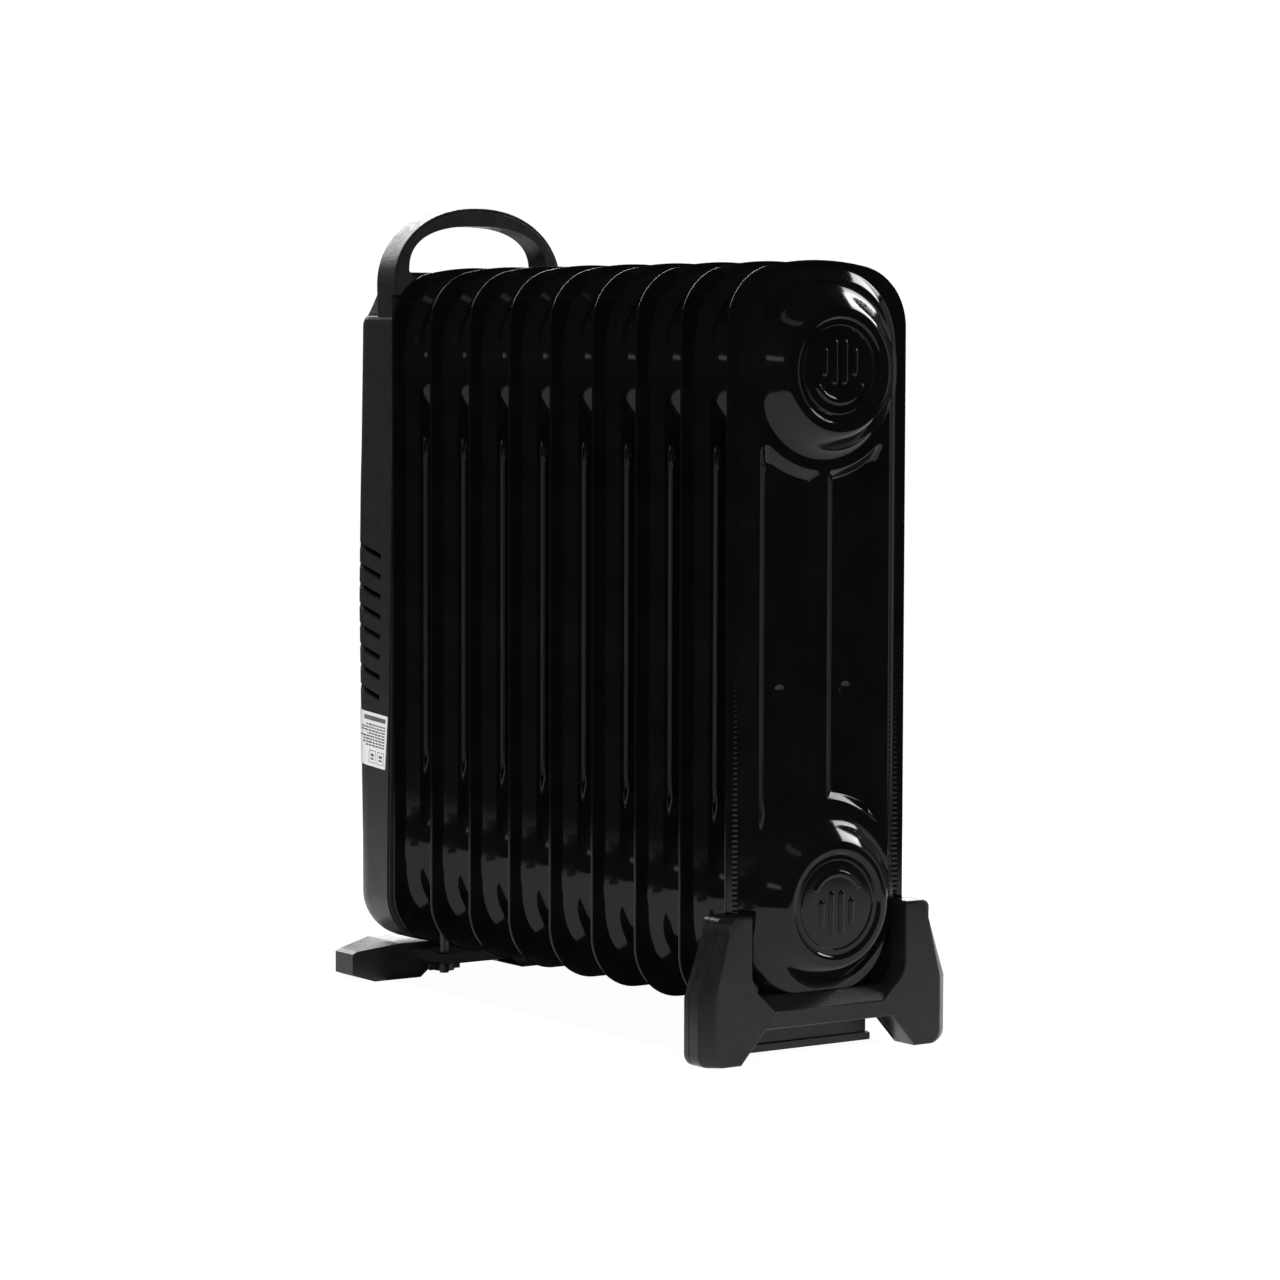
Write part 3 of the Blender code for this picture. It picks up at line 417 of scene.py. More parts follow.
BADGE_BARS = [(-0.0090, -0.0010, 0.0090), (-0.0030, -0.0050, 0.0130),
              (0.0030, -0.0050, 0.0130), (0.0090, -0.0010, 0.0090)]


def soft_ramp(t, round_off=PRESS_ROUND):
    """0 below t = 0, 1 above t = 1, with rounded corners."""
    def rise(s):
        return (s + np.sqrt(s * s + round_off * round_off)) / 2
    return rise(t) - rise(t - 1)


def soft_min(a, b, blend):
    h = np.clip(0.5 + 0.5 * (b - a) / blend, 0, 1)
    return b + (a - b) * h - blend * h * (1 - h)


def soft_max(a, b, blend):
    return -soft_min(-a, -b, blend)


def inside_raised(y, z, high):
    """How far a point is inside the raised area's outline."""
    middle, half = (RAISED_LOW + high) / 2, (high - RAISED_LOW) / 2
    a = np.abs(y) - (RAISED_HALF - RAISED_RADIUS)
    b = np.abs(z - middle) - (half - RAISED_RADIUS)
    outside = np.hypot(np.maximum(a, 0), np.maximum(b, 0))
    return RAISED_RADIUS - outside - np.minimum(np.maximum(a, b), 0)


def inside_panel(y, z):
    """How far a point is inside one of the two recessed panels."""
    upper = np.where(z < HUB_UPPER, np.hypot(y, z - HUB_UPPER) - PANEL_RINGS["upper"], -1.0)
    lower = np.where(z > HUB_LOWER, np.hypot(y, z - HUB_LOWER) - PANEL_RINGS["lower"], -1.0)
    ends = np.minimum(upper, lower)
    outer = soft_min(PANEL_OUTER - np.abs(y), ends, CORNER_BLEND)
    return soft_min(np.abs(y) - PANEL_INNER, outer, 0.0016)


def stroke_distance(y, z, centre, up):
    """Distance to the centre lines of the badge: upright bars over a curved one."""
    u, v = y * up, (z - centre) * up
    nearest = np.full_like(y, 1.0)
    for middle, low, high in BADGE_BARS:
        nearest = np.minimum(nearest, np.hypot(u - middle, v - np.clip(v, low, high)))
    angle = np.clip(np.arctan2(u, -v), -BADGE_SWEEP, BADGE_SWEEP)
    to_arc = np.hypot(u - BADGE_BOW * np.sin(angle), v + BADGE_BOW * np.cos(angle))
    return np.minimum(nearest, to_arc)


def fin_height(y, z, badge=False, high=RAISED_HIGH):
    """Height of the pressed sheet above the seam plane."""
    channel = soft_ramp(inside_raised(y, z, high) / EDGE_SLOPE)
    height = SHEET + (CHANNEL_X - SHEET) * channel
    panel = soft_ramp(inside_panel(y, z) / PANEL_SLOPE)
    height = height - (CHANNEL_X - PANEL_FLOOR_X) * panel
    for middle_y, middle_z in DIMPLES:
        t = np.hypot(y - middle_y, z - middle_z) / DIMPLE_RADIUS
        height = height - DIMPLE_DEPTH * np.clip(1 - t**2, 0, 1) ** 1.5
    for centre, up in ((HUB_UPPER, 1), (HUB_LOWER, -1)):
        radius = np.hypot(y, z - centre)
        over = radius - HUB_RIM
        over = (over + np.sqrt(over * over + HUB_RIM_ROUND**2)) / 2
        dome = HUB_FACE_X - HUB_FLANK * over
        if badge:
            groove = soft_ramp((radius - BADGE_GROOVE[0] + BADGE_EDGE) / BADGE_EDGE / 2)
            groove = groove * (1 - soft_ramp((radius - BADGE_GROOVE[1]) / BADGE_EDGE / 2))
            disc = 1 - soft_ramp((radius - BADGE_DISC) / BADGE_EDGE)
            across = stroke_distance(y, z, centre, up) / BAR_RADIUS
            mark = np.clip(1 - across**2, 0, 1) ** 0.7
            dome = dome - BADGE_DEPTH * (0.9 * groove + disc * (1 - mark))
        height = soft_max(height, dome, HUB_FILLET)
    side = np.abs(y)
    middle = (TOOTH_BAND[0] + TOOTH_BAND[1]) / 2
    band = np.clip(1 - np.abs(side - middle) / (middle - TOOTH_BAND[0]), 0, 1) ** 0.5
    straight = np.clip((z - TOOTH_Z[0]) / TOOTH_FADE, 0, 1) * np.clip((TOOTH_Z[1] - z) / TOOTH_FADE, 0, 1)
    wave = 0.5 - 0.5 * np.cos(2 * math.pi * z / TOOTH_PITCH)
    return height - TOOTH_DEPTH * band * straight * wave


def fin_outline(inset, step=3):
    """The fin's edge: rounded bottom corners, straight sides and a slightly crowned top."""
    crown, top, bottom = 0.150, 0.030, 0.028
    corner_y, foot_y = FIN_HALF - top, FIN_HALF - bottom
    crown_z = FIN_HEIGHT - crown
    corner_z = crown_z + math.sqrt((crown - top) ** 2 - corner_y**2)
    meet = math.degrees(math.atan2(corner_z - crown_z, corner_y))
    points = [(y, inset) for y in np.linspace(0, foot_y, 6)[:-1]]
    points += arc(foot_y, bottom, bottom - inset, -90, 0, 30)
    points += [(FIN_HALF - inset, z) for z in np.arange(bottom, corner_z, 0.005)[1:-1]]
    points += arc(corner_y, corner_z, top - inset, 0, meet, 26)
    points += arc(0, crown_z, crown - inset, meet, 90, 8)[1:]
    return np.array(mirrored(points))


def onto_level(points, field, level):
    """Slide points along a field's gradient until the field equals level there."""
    points = np.array(points, float)
    step = 1e-5
    for _ in range(12):
        y, z = points[:, 0], points[:, 1]
        value = field(y, z)
        slope_y = (field(y + step, z) - value) / step
        slope_z = (field(y, z + step) - value) / step
        size = np.maximum(slope_y**2 + slope_z**2, 0.2)
        points[:, 0] += (level - value) * slope_y / size
        points[:, 1] += (level - value) * slope_z / size
    return points


def thin_out(points, gap):
    """Drop points of a closed ring that come closer than gap to the one before."""
    kept = [points[0]]
    for point in points[1:]:
        if np.hypot(*(point - kept[-1])) > gap:
            kept.append(point)
    if np.hypot(*(kept[-1] - kept[0])) < gap:
        kept.pop()
    return np.array(kept)


def raised_ring():
    """Points along the raised area's outline."""
    low, high = RAISED_LOW + RAISED_RADIUS, RAISED_HIGH - RAISED_RADIUS
    middle = RAISED_HALF - RAISED_RADIUS
    points = arc(middle, low, RAISED_RADIUS, -90, 0, 22)
    points += [(RAISED_HALF, z) for z in np.arange(low, high, 0.005)[1:-1]]
    points += arc(middle, high, RAISED_RADIUS, 0, 90, 22)
    return mirrored(points)


def panel_ring():
    """Points along the edge of the +Y panel, anticlockwise from its lower inner corner."""
    upper, lower = PANEL_RINGS["upper"], PANEL_RINGS["lower"]
    angles = [math.degrees(math.acos(y / lower)) for y in (PANEL_INNER, PANEL_OUTER)]
    points = arc(0, HUB_LOWER, lower, angles[0], angles[1], 22)
    end = math.degrees(math.acos(PANEL_OUTER / upper))
    start_z = HUB_LOWER + math.sqrt(lower**2 - PANEL_OUTER**2)
    end_z = HUB_UPPER - math.sqrt(upper**2 - PANEL_OUTER**2)
    near_ends = [0.0015, 0.003, 0.0045, 0.006, 0.008, 0.010]
    sides = [start_z + s for s in near_ends]
    sides += list(np.linspace(start_z + 0.014, end_z - 0.014, 38)) + [end_z - s for s in near_ends[::-1]]
    points += [(PANEL_OUTER, z) for z in sides]
    points += arc(0, HUB_UPPER, upper, -end, -math.degrees(math.acos(PANEL_INNER / upper)), 22)
    low_z, high_z = points[0][1], points[-1][1]
    points += [(PANEL_INNER, z) for z in np.linspace(high_z, low_z, 44)[1:-1]]
    return points


def stroke_rings(centre, up, offset):
    """Closed rings at one distance round each stroke of the badge."""
    rings = []
    for middle, low, high in BADGE_BARS:
        ring = arc(middle, high, offset, 0, 180, 10) + arc(middle, low, offset, 180, 360, 10)
        rings.append(ring)
    sweep = math.degrees(BADGE_SWEEP)
    ends = [(BADGE_BOW * math.sin(s * BADGE_SWEEP), -BADGE_BOW * math.cos(BADGE_SWEEP)) for s in (-1, 1)]
    ring = arc(0, 0, BADGE_BOW + offset, -90 - sweep, -90 + sweep, 20)
    ring += arc(*ends[1], offset, -90 + sweep, 90 + sweep, 8)[1:-1]
    ring += arc(0, 0, BADGE_BOW - offset, -90 + sweep, -90 - sweep, 20)
    ring += arc(*ends[0], offset, 90 - sweep, -90 - sweep + 360, 8)[1:-1]
    rings.append(ring)
    return [np.array([(y * up, centre + z * up) for y, z in ring]) for ring in rings]


def circle_points(centre, radius, sides=72):
    angles = np.arange(sides) * 2 * math.pi / sides
    return np.column_stack((radius * np.cos(angles), centre + radius * np.sin(angles)))


def fin_layout(badge):
    """Flat triangulation of one half: rings follow every edge of the pressing."""
    outline = fin_outline(SHEET)
    rings, loose = [outline], []
    for level in (-0.0009, -0.0003, 0.0002, 0.0009, 0.0047, 0.0053, 0.0058, 0.0066):
        ring = onto_level(raised_ring(), lambda y, z: inside_raised(y, z, RAISED_HIGH), level)
        rings.append(thin_out(ring, 0.0003))
    for level in (-0.0009, -0.0003, 0.0002, 0.0007, 0.0033, 0.0038, 0.0043, 0.005):
        ring = thin_out(onto_level(panel_ring(), inside_panel, level), 0.00025)
        rings += [ring, ring[::-1] * (-1, 1)]
    for centre, up in ((HUB_UPPER, 1), (HUB_LOWER, -1)):
        radii = [0.0275, 0.0290, 0.0298, 0.0304, 0.0310, 0.0318, 0.033, 0.0355, 0.0370, 0.0382]
        if badge:
            radii += [0.0204, 0.0208, 0.0212, 0.0217, 0.0222, 0.0239, 0.0244, 0.0249, 0.0254, 0.0260]
            for share in (0.25, 0.5, 0.7, 0.85, 0.94, 1.0, 1.08):
                rings += stroke_rings(centre, up, BAR_RADIUS * share)
        rings += [circle_points(centre, radius) for radius in radii]
        for radius in (0.0394, 0.0406, 0.0418, 0.0430, 0.0444):
            loose.append(circle_points(centre, radius))
    for y, z in DIMPLES:
        for share in (0.15, 0.5, 0.8, 1.0, 1.15):
            angles = np.arange(20) * 2 * math.pi / 20
            radius = share * DIMPLE_RADIUS
            rings.append(np.column_stack((y + radius * np.cos(angles), z + radius * np.sin(angles))))
    rows = np.arange(*TOOTH_Z, TOOTH_PITCH / 4)
    for side in (-1, 1):
        for y in (0.0473, 0.0486, 0.0500, 0.0506):
            loose.append(np.column_stack((np.full(len(rows), side * y), rows)))
    loose = np.vstack(loose)
    y, z = loose[:, 0], loose[:, 1]
    depth, panel = inside_raised(y, z, RAISED_HIGH), inside_panel(y, z)
    free = (depth < -0.0011) | ((depth > 0.0070) & (panel < -0.0012)) | ((depth > 0.0012) & (depth < 0.0044))
    loose = loose[free]
    points, edges = [], []
    for ring in rings:
        start, count = len(points), len(ring)
        points += [tuple(p) for p in ring]
        edges += [(start + i, start + (i + 1) % count) for i in range(count)]
    points += [tuple(p) for p in loose]
    coords, _, faces, _, _, _ = delaunay_2d_cdt([Vector(p) for p in points], edges, [], 1, 1e-6)
    return np.array([tuple(c) for c in coords]), np.array([tuple(f) for f in faces]), len(outline)


def half_surface(layout, sign, **kind):
    """3-D points, normals and triangles of one half, from its flat layout."""
    flat, faces, _ = layout
    y, z = flat[:, 0], flat[:, 1]
    step = 2e-5
    height = fin_height(y, z, **kind)
    slope_y = (fin_height(y + step, z, **kind) - fin_height(y - step, z, **kind)) / (2 * step)
    slope_z = (fin_height(y, z + step, **kind) - fin_height(y, z - step, **kind)) / (2 * step)
    points = np.column_stack((sign * height, y, z))
    normals = np.column_stack((np.full(len(y), sign), -slope_y, -slope_z))
    return points, normals, faces if sign > 0 else faces[:, ::-1]


def edge_rings(sign, steps=4):
    """Rounded edge between the seam plane and one sheet's face."""
    points, normals = [], []
    away = fin_outline(0.0) - fin_outline(SHEET)
    away /= np.linalg.norm(away, axis=1)[:, None]
    for i in range(1, steps):
        angle = math.pi / 2 * i / steps
        flat = fin_outline(SHEET * (1 - math.cos(angle)))
        x = np.full(len(flat), sign * SHEET * math.sin(angle))
        points.append(np.column_stack((x, flat)))
        normals.append(np.column_stack((np.full(len(flat), sign * math.sin(angle)), away * math.cos(angle))))
    return points, normals


def fin_mesh(name, back, front):
    """Whole fin from two halves, each given as (layout, kind)."""
    seam = fin_outline(0.0)
    count = len(seam)
    away = seam - fin_outline(SHEET)
    points = [np.column_stack((np.zeros(count), seam))]
    normals = [np.column_stack((np.zeros(count), away))]
    triangles = []
    for sign, (layout, kind) in ((-1, back), (1, front)):
        start = sum(len(p) for p in points)
        ring_points, ring_normals = edge_rings(sign)
        points += ring_points
        normals += ring_normals
        face_start = start + len(ring_points) * count
        starts = [0] + [start + i * count for i in range(len(ring_points))] + [face_start]
        for first, second in zip(starts, starts[1:]):
            for i in range(count):
                j = (i + 1) % count
                quad = [first + i, first + j, second + j, second + i]
                if sign < 0:
                    quad.reverse()
                triangles += [(quad[0], quad[1], quad[2]), (quad[0], quad[2], quad[3])]
        face_points, face_normals, faces = half_surface(layout, sign, **kind)
        points.append(face_points)
        normals.append(face_normals)
        triangles += [tuple(f) for f in faces + face_start]
    points = np.vstack(points)
    normals = np.vstack(normals)
    normals /= np.linalg.norm(normals, axis=1)[:, None]
    mesh = bpy.data.meshes.new(name)
    mesh.from_pydata([tuple(p) for p in points], [], [tuple(int(i) for i in t) for t in triangles])
    mesh.shade_smooth()
    mesh.normals_split_custom_set_from_vertices([tuple(n) for n in normals])
    return mesh


def make_fins():
    plain, marked = fin_layout(False), fin_layout(True)
    side = (plain, {})
    housed = (plain, {"high": RAISED_HIGH_HOUSED})
    badge = (marked, {"badge": True})
    first = fin_mesh("first_fin", housed, side)
    middle = fin_mesh("middle_fin", side, side)
    last = fin_mesh("last_fin", side, badge)
    for number in range(1, FIN_COUNT + 1):
        mesh = {1: first, FIN_COUNT: last}.get(number, middle)
        at = Vector((seam_plane(number), 0, ORIGIN.z))
        add_piece(f"fin_{number}_pressing", mesh, ENAMEL, [f"fin_{number}"], at=at)


make_fins()

# ---------------- housing
HOUSING_FRONT = FIRST_X - 0.0015
FRAME_DEPTH = 0.0037
FRAME_INSET = 0.0013
GAP = 0.0003
SHELL_FRONT = HOUSING_FRONT - FRAME_DEPTH - GAP
SHELL_WALL = 0.0025
SHELL_ROUND, SHELL_ROUND_LOW, SHELL_ROUND_HIGH = 0.0145, 0.0095, 0.0035
ROUND_LOW_Z, ROUND_LOW_SPAN = 0.185, 0.135       # the round grows below the first height
ROUND_HIGH_Z, ROUND_HIGH_SPAN = 0.250, 0.090     # and above the second
SHAFT_BORE, INLET_BORE = 0.0045, 0.0063
HOUSING_BOTTOM = SHELL_LOW.z
HOUSING_TOP = 0.341
HOUSING_RADIUS = 0.026
TAPER_Z = (0.045, 0.270)
HANDLE_HALF = 0.0535
HANDLE_SPRING = 0.355
HANDLE_POWER = 2.15
HANDLE_DEPTH = 0.020
HANDLE_ROOT, HANDLE_STEP = 0.330, 0.350
FLARE_DEPTH, FLARE_Z = 0.0085, (0.3395, 0.3605)
GRIP_HALF, GRIP_BOTTOM, GRIP_SPRING, GRIP_TOP, GRIP_POWER = 0.044, 0.3595, 0.363, 0.3873, 2.5
SLOT_COUNT, SLOT_PITCH, SLOT_TOP_Z, SLOT_HEIGHT = 8, 0.0109, 0.2093, 0.0032
SLOT_START = FIRST_X - 0.0115
SLOT_RISE = 0.0094


def housing_half(z):
    """Half the housing's width at one height."""
    low, high = TAPER_Z
    share = min(max((z - low) / (high - low), 0.0), 1.0)
    return HOUSING_HALF + (HANDLE_HALF - HOUSING_HALF) * share


def shell_round(z):
    """Radius of the round into the shell's back at one height."""
    low = min(max((ROUND_LOW_Z - z) / ROUND_LOW_SPAN, 0.0), 1.0)
    high = min(max((z - ROUND_HIGH_Z) / ROUND_HIGH_SPAN, 0.0), 1.0)
    return SHELL_ROUND + SHELL_ROUND_LOW * low + SHELL_ROUND_HIGH * high


def side_points(inset):
    """Foot and side of the housing for +Y, from the middle of its bottom edge upwards."""
    foot = HOUSING_BOTTOM + HOUSING_RADIUS
    points = [(0.0, HOUSING_BOTTOM + inset)]
    points += arc(HOUSING_HALF - HOUSING_RADIUS, foot, HOUSING_RADIUS - inset, -90, 0, 18)
    heights = np.linspace(TAPER_Z[0], TAPER_Z[1], 16)
    return points + [(housing_half(z) - inset, z) for z in heights]


def housing_outline(inset):
    points = side_points(inset)
    top, corner = HOUSING_TOP - inset, 0.005
    points += arc(HANDLE_HALF - inset - corner, top - corner, corner, 0, 90, 8)
    points.append((0.0, top))
    return mirrored(points)


def handle_arch(inset=0.0):
    """Outline of the whole handle, whose legs narrow a little inside the housing."""
    root = HANDLE_HALF - inset - 0.0006
    over = arch(HANDLE_HALF - inset, HANDLE_SPRING, HANDLE_TOP - inset, HANDLE_POWER)
    return over + [(-root, HANDLE_ROOT + inset), (root, HANDLE_ROOT + inset)]


def silhouette(inset=0.0):
    over = arch(HANDLE_HALF - inset, HANDLE_SPRING, HANDLE_TOP - inset, HANDLE_POWER)
    return mirrored(side_points(inset) + [(max(y, 0.0), z) for y, z in over if y > -1e-6])


def grip_opening(outset=0.0):
    top = arch(GRIP_HALF + outset, GRIP_SPRING, GRIP_TOP + outset, GRIP_POWER)
    corner = GRIP_HALF + outset - 0.003
    return top + [(-corner, GRIP_BOTTOM - outset), (corner, GRIP_BOTTOM - outset)]


def shell_body(inset, front, back):
    """Housing as a solid: drawn-in sides, then a round into the back."""
    bm = bmesh.new()
    edge, inner, reach = housing_outline(inset), housing_outline(inset + 0.004), 0.004
    rings = [loop(bm, edge, front)]
    steps = 10
    for i in range(steps + 1):
        angle = math.radians(90 * i / steps)
        ring = []
        for (y, z), (inner_y, inner_z) in zip(edge, inner):
            turn = shell_round(z) - inset
            share = turn * (1 - math.cos(angle)) / reach
            x = back + turn * (1 - math.sin(angle))
            ring.append(bm.verts.new((x, y + (inner_y - y) * share, z + (inner_z - z) * share)))
        rings.append(ring)
    close(bm, rings)
    return to_mesh("shell", bm)


def handle_flare(rear):
    """Wedge behind the handle's root, curved like a fillet, across the housing's top."""
    low, high = FLARE_Z
    bottom, inner = HANDLE_ROOT + 0.002, rear + 0.002
    wide, narrow = HANDLE_HALF - 0.001, HANDLE_HALF - 0.0055
    sections = [(rear - FLARE_DEPTH, wide, bottom)]
    for i in range(12):
        t = i / 11
        sections.append((rear - FLARE_DEPTH * (1 - t), wide + (narrow - wide) * t,
                         high + 0.002 - (high + 0.002 - low) * (1 - t) ** 0.72))
    bm = bmesh.new()
    rings = []
    for x, half, z in sections:
        corners = ((x, -half, z), (x, half, z), (inner, half, z), (inner, -half, z))
        rings.append([bm.verts.new(corner) for corner in corners])
    close(bm, rings, whole=True)
    return to_mesh("flare", bm)


def cut_below_step(mesh):
    """Keep only the part of the handle above the step ahead of the housing's front."""
    step = box_mesh((HOUSING_FRONT, -0.07, HANDLE_ROOT - 0.01), (HANDLE_FRONT + 0.01, 0.07, HANDLE_STEP))
    return cut(mesh, step)


def joined(meshes):
    """One mesh holding several separate solids."""
    bm = bmesh.new()
    for mesh in meshes:
        bm.from_mesh(mesh)
    made = bpy.data.meshes.new("joined")
    bm.to_mesh(made)
    bm.free()
    return made


def box_mesh(low, high):
    bm = bmesh.new()
    size, centre = Vector(high) - Vector(low), (Vector(high) + Vector(low)) / 2
    matrix = Matrix.Translation(centre) @ Matrix.Diagonal((*size, 1))
    bmesh.ops.create_cube(bm, size=1.0, matrix=matrix)
    return to_mesh("box", bm)


def node_window(node, clearance, x0, x1):
    """Prism through the shell's back round a node's own box."""
    low, high = [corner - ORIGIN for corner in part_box(node)]
    return box_mesh((x0, low.y - clearance, low.z - clearance), (x1, high.y + clearance, high.z + clearance))


def moved(mesh, offset):
    mesh.transform(Matrix.Translation(offset))
    return mesh


def make_shell():
    rear = HANDLE_FRONT - HANDLE_DEPTH
    shell = shell_body(0.0, HOUSING_FRONT, SHELL_BACK)
    outlines = [handle_arch, lambda inset: grip_opening(inset)[::-1]]
    strap = cut_below_step(rounded_prism(outlines, rear, HANDLE_FRONT, 0.0032, 0.0006))
    shell = combine(shell, strap, "UNION")
    shell = combine(shell, handle_flare(rear), "UNION")
    pocket = prism(silhouette(FRAME_INSET - GAP), SHELL_FRONT, HANDLE_FRONT + 0.01)
    shell = cut(shell, pocket)
    cavity = shell_body(SHELL_WALL, SHELL_FRONT + 0.005, SHELL_BACK + SHELL_WALL)
    shell = cut(shell, cavity)
    hollow = box_mesh((rear + 0.001, -0.0485, HANDLE_ROOT + 0.001),
                      (SHELL_FRONT + 0.001, 0.0485, GRIP_BOTTOM - SHELL_WALL))
    shell = cut(shell, hollow)
    room = box_mesh((FIRST_X - HUB_FACE_X - 0.0015, -0.047, HANDLE_ROOT + 0.002),
                    (SHELL_FRONT, 0.047, 0.3445))
    shell = cut(shell, room)
    slots = []
    for side in (-1, 1):
        for i in range(SLOT_COUNT):
            low = SLOT_TOP_Z - i * SLOT_PITCH - SLOT_HEIGHT / 2
            inner, outer = side * 0.0505, side * 0.060
            section = [(inner, low), (outer, low), (outer, low + SLOT_HEIGHT), (inner, low + SLOT_HEIGHT)]
            slots.append(prism(section, SLOT_START, SHELL_BACK - 0.005, SLOT_RISE))
    shell = cut(shell, joined(slots))
    through = (SHELL_BACK - 0.01, SHELL_BACK + 0.006)
    knob, inlet = node_centre("thermostat_knob"), node_centre("cord_inlet")
    openings = [moved(turned([(x, SHAFT_BORE) for x in through], 32), (0, knob.y, knob.z))]
    openings.append(moved(turned([(x, INLET_BORE) for x in through], 32), (0, inlet.y, inlet.z)))
    for number in (1, 2):
        openings.append(node_window(f"rocker_switch_{number}_case", -0.0012, *through))
    shell = cut(shell, joined(openings))
    piece = add_piece("housing_shell_moulding", shell, SHELL_PLASTIC, ["housing_shell"])
    weighted_normals(piece)


def node_centre(node):
    low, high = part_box(node)
    return (low + high) / 2 - ORIGIN


def make_front_frame():
    back = HOUSING_FRONT - FRAME_DEPTH
    rounds = (0.0002, 0.0005)
    shape = rounded_prism([lambda inset: silhouette(FRAME_INSET + inset)], back, HOUSING_FRONT, *rounds)
    strap = rounded_prism([lambda inset: handle_arch(FRAME_INSET + inset)], back, HANDLE_FRONT, *rounds)
    strap = cut_below_step(strap)
    shape = combine(shape, strap, "UNION")
    cutter = prism([tuple(p) for p in fin_outline(-0.0007)], HOUSING_FRONT + GAP, HANDLE_FRONT + 0.01)
    shape = cut(shape, cutter)
    ring = onto_level(raised_ring(), lambda y, z: inside_raised(y, z, RAISED_HIGH_HOUSED), 0.0)
    opening = prism([tuple(p) for p in ring], back - 0.01, HOUSING_FRONT + 0.01)
    shape = cut(shape, opening)
    shape = cut(shape, prism(grip_opening(), back - 0.01, HANDLE_FRONT + 0.01))
    recesses = []
    for number in range(1, 5):
        middle = node_centre(f"housing_screw_{number}")
        for start, radius in ((back - 0.01, 0.0017), (HOUSING_FRONT - 0.0022, 0.0025)):
            drill = turned([(start, radius), (HOUSING_FRONT + 0.01, radius)], 32)
            recesses.append(moved(drill, (0, middle.y, middle.z)))
    for recess in recesses:
        shape = cut(shape, recess)
    piece = add_piece("housing_front_frame_moulding", shape, SHELL_PLASTIC,
                      ["housing_front_frame"])
    weighted_normals(piece)


make_shell()
make_front_frame()

# ---------------- label
PLATE_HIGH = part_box("rating_plate")[1] - ORIGIN
PLATE_WIDTH, PLATE_HEIGHT = 0.033, 0.029
PLATE_TILT = math.radians(4.2)
PLATE_CORNER = (PLATE_HIGH.x, PLATE_HIGH.z - PLATE_WIDTH * math.sin(PLATE_TILT))


def label_point(along, up, lift):
    """A place over the label, measured from its lower front corner, on the housing's side."""
    c, s = math.cos(PLATE_TILT), math.sin(PLATE_TILT)
    down = PLATE_HEIGHT - up
    x = PLATE_CORNER[0] - along * c - down * s
    z = PLATE_CORNER[1] + along * s - down * c
    radius = shell_round(z)
    past = max(SHELL_BACK + radius - x, 0.0)
    half = housing_half(z) - radius + math.sqrt(radius**2 - past**2)
    return (x, -half - lift, z)


def label_patch(bm, along0, along1, z0, z1, lift):
    """Curved sliver of film or ink with a real thickness."""
    steps = max(1, math.ceil((along1 - along0) / 0.0012))
    rows = []
    for i in range(steps + 1):
        along = along0 + (along1 - along0) * i / steps
        rows.append([bm.verts.new(label_point(along, z, up))
                     for up, z in ((lift - 0.00005, z0), (lift, z0), (lift, z1), (lift - 0.00005, z1))])
    close(bm, rows, whole=True)


def make_label():
    """Generic rating label: rows of plain bars and two framed boxes, with no lettering."""
    draw = random.Random(4)
    high, width = PLATE_HEIGHT, PLATE_WIDTH
    row, bar, gap = 0.0016, 0.0008, 0.0006
    bm = bmesh.new()
    margin, lift = 0.0016, 0.00052
    label_patch(bm, margin, width * 0.72, high - 0.0042, high - 0.0018, lift)
    z = high - 0.0062
    while z > 0.0105:
        along = margin
        end = width * draw.uniform(0.55, 0.86)
        while along < end:
            length = min(draw.uniform(0.0014, 0.0042), end - along + 0.0005)
            label_patch(bm, along, along + length, z - bar, z, lift)
            along += length + gap
        z -= row
    for start in (margin, margin + 0.0085):
        size, line, top = 0.0068, 0.00028, 0.0086
        label_patch(bm, start, start + size, top - line, top, lift)
        label_patch(bm, start, start + size, top - size, top - size + line, lift)
        label_patch(bm, start, start + line, top - size, top, lift)
        label_patch(bm, start + size - line, start + size, top - size, top, lift)
        label_patch(bm, start + 0.0018, start + size - 0.0018, top - 0.0032, top - 0.0018, lift)
        label_patch(bm, start + 0.0018, start + size - 0.0018, top - 0.0050, top - 0.0041, lift)
    add_piece("rating_plate_print", to_mesh("rating_plate_print", bm), INK)


make_label()


# ---------------- controls
DIAL_HALF = 135                  # degrees from the top to the first and the last tick
DIAL_STEPS, DIAL_RADIUS, LONG_TICK, SHORT_TICK = 10, 0.0212, 0.0034, 0.0020


def turned_to_start(y, z, angle=math.radians(DIAL_HALF)):
    """Turn a point from straight up to the first tick of the dial."""
    c, s = math.cos(angle), math.sin(angle)
    return (y * c - z * s, y * s + z * c)


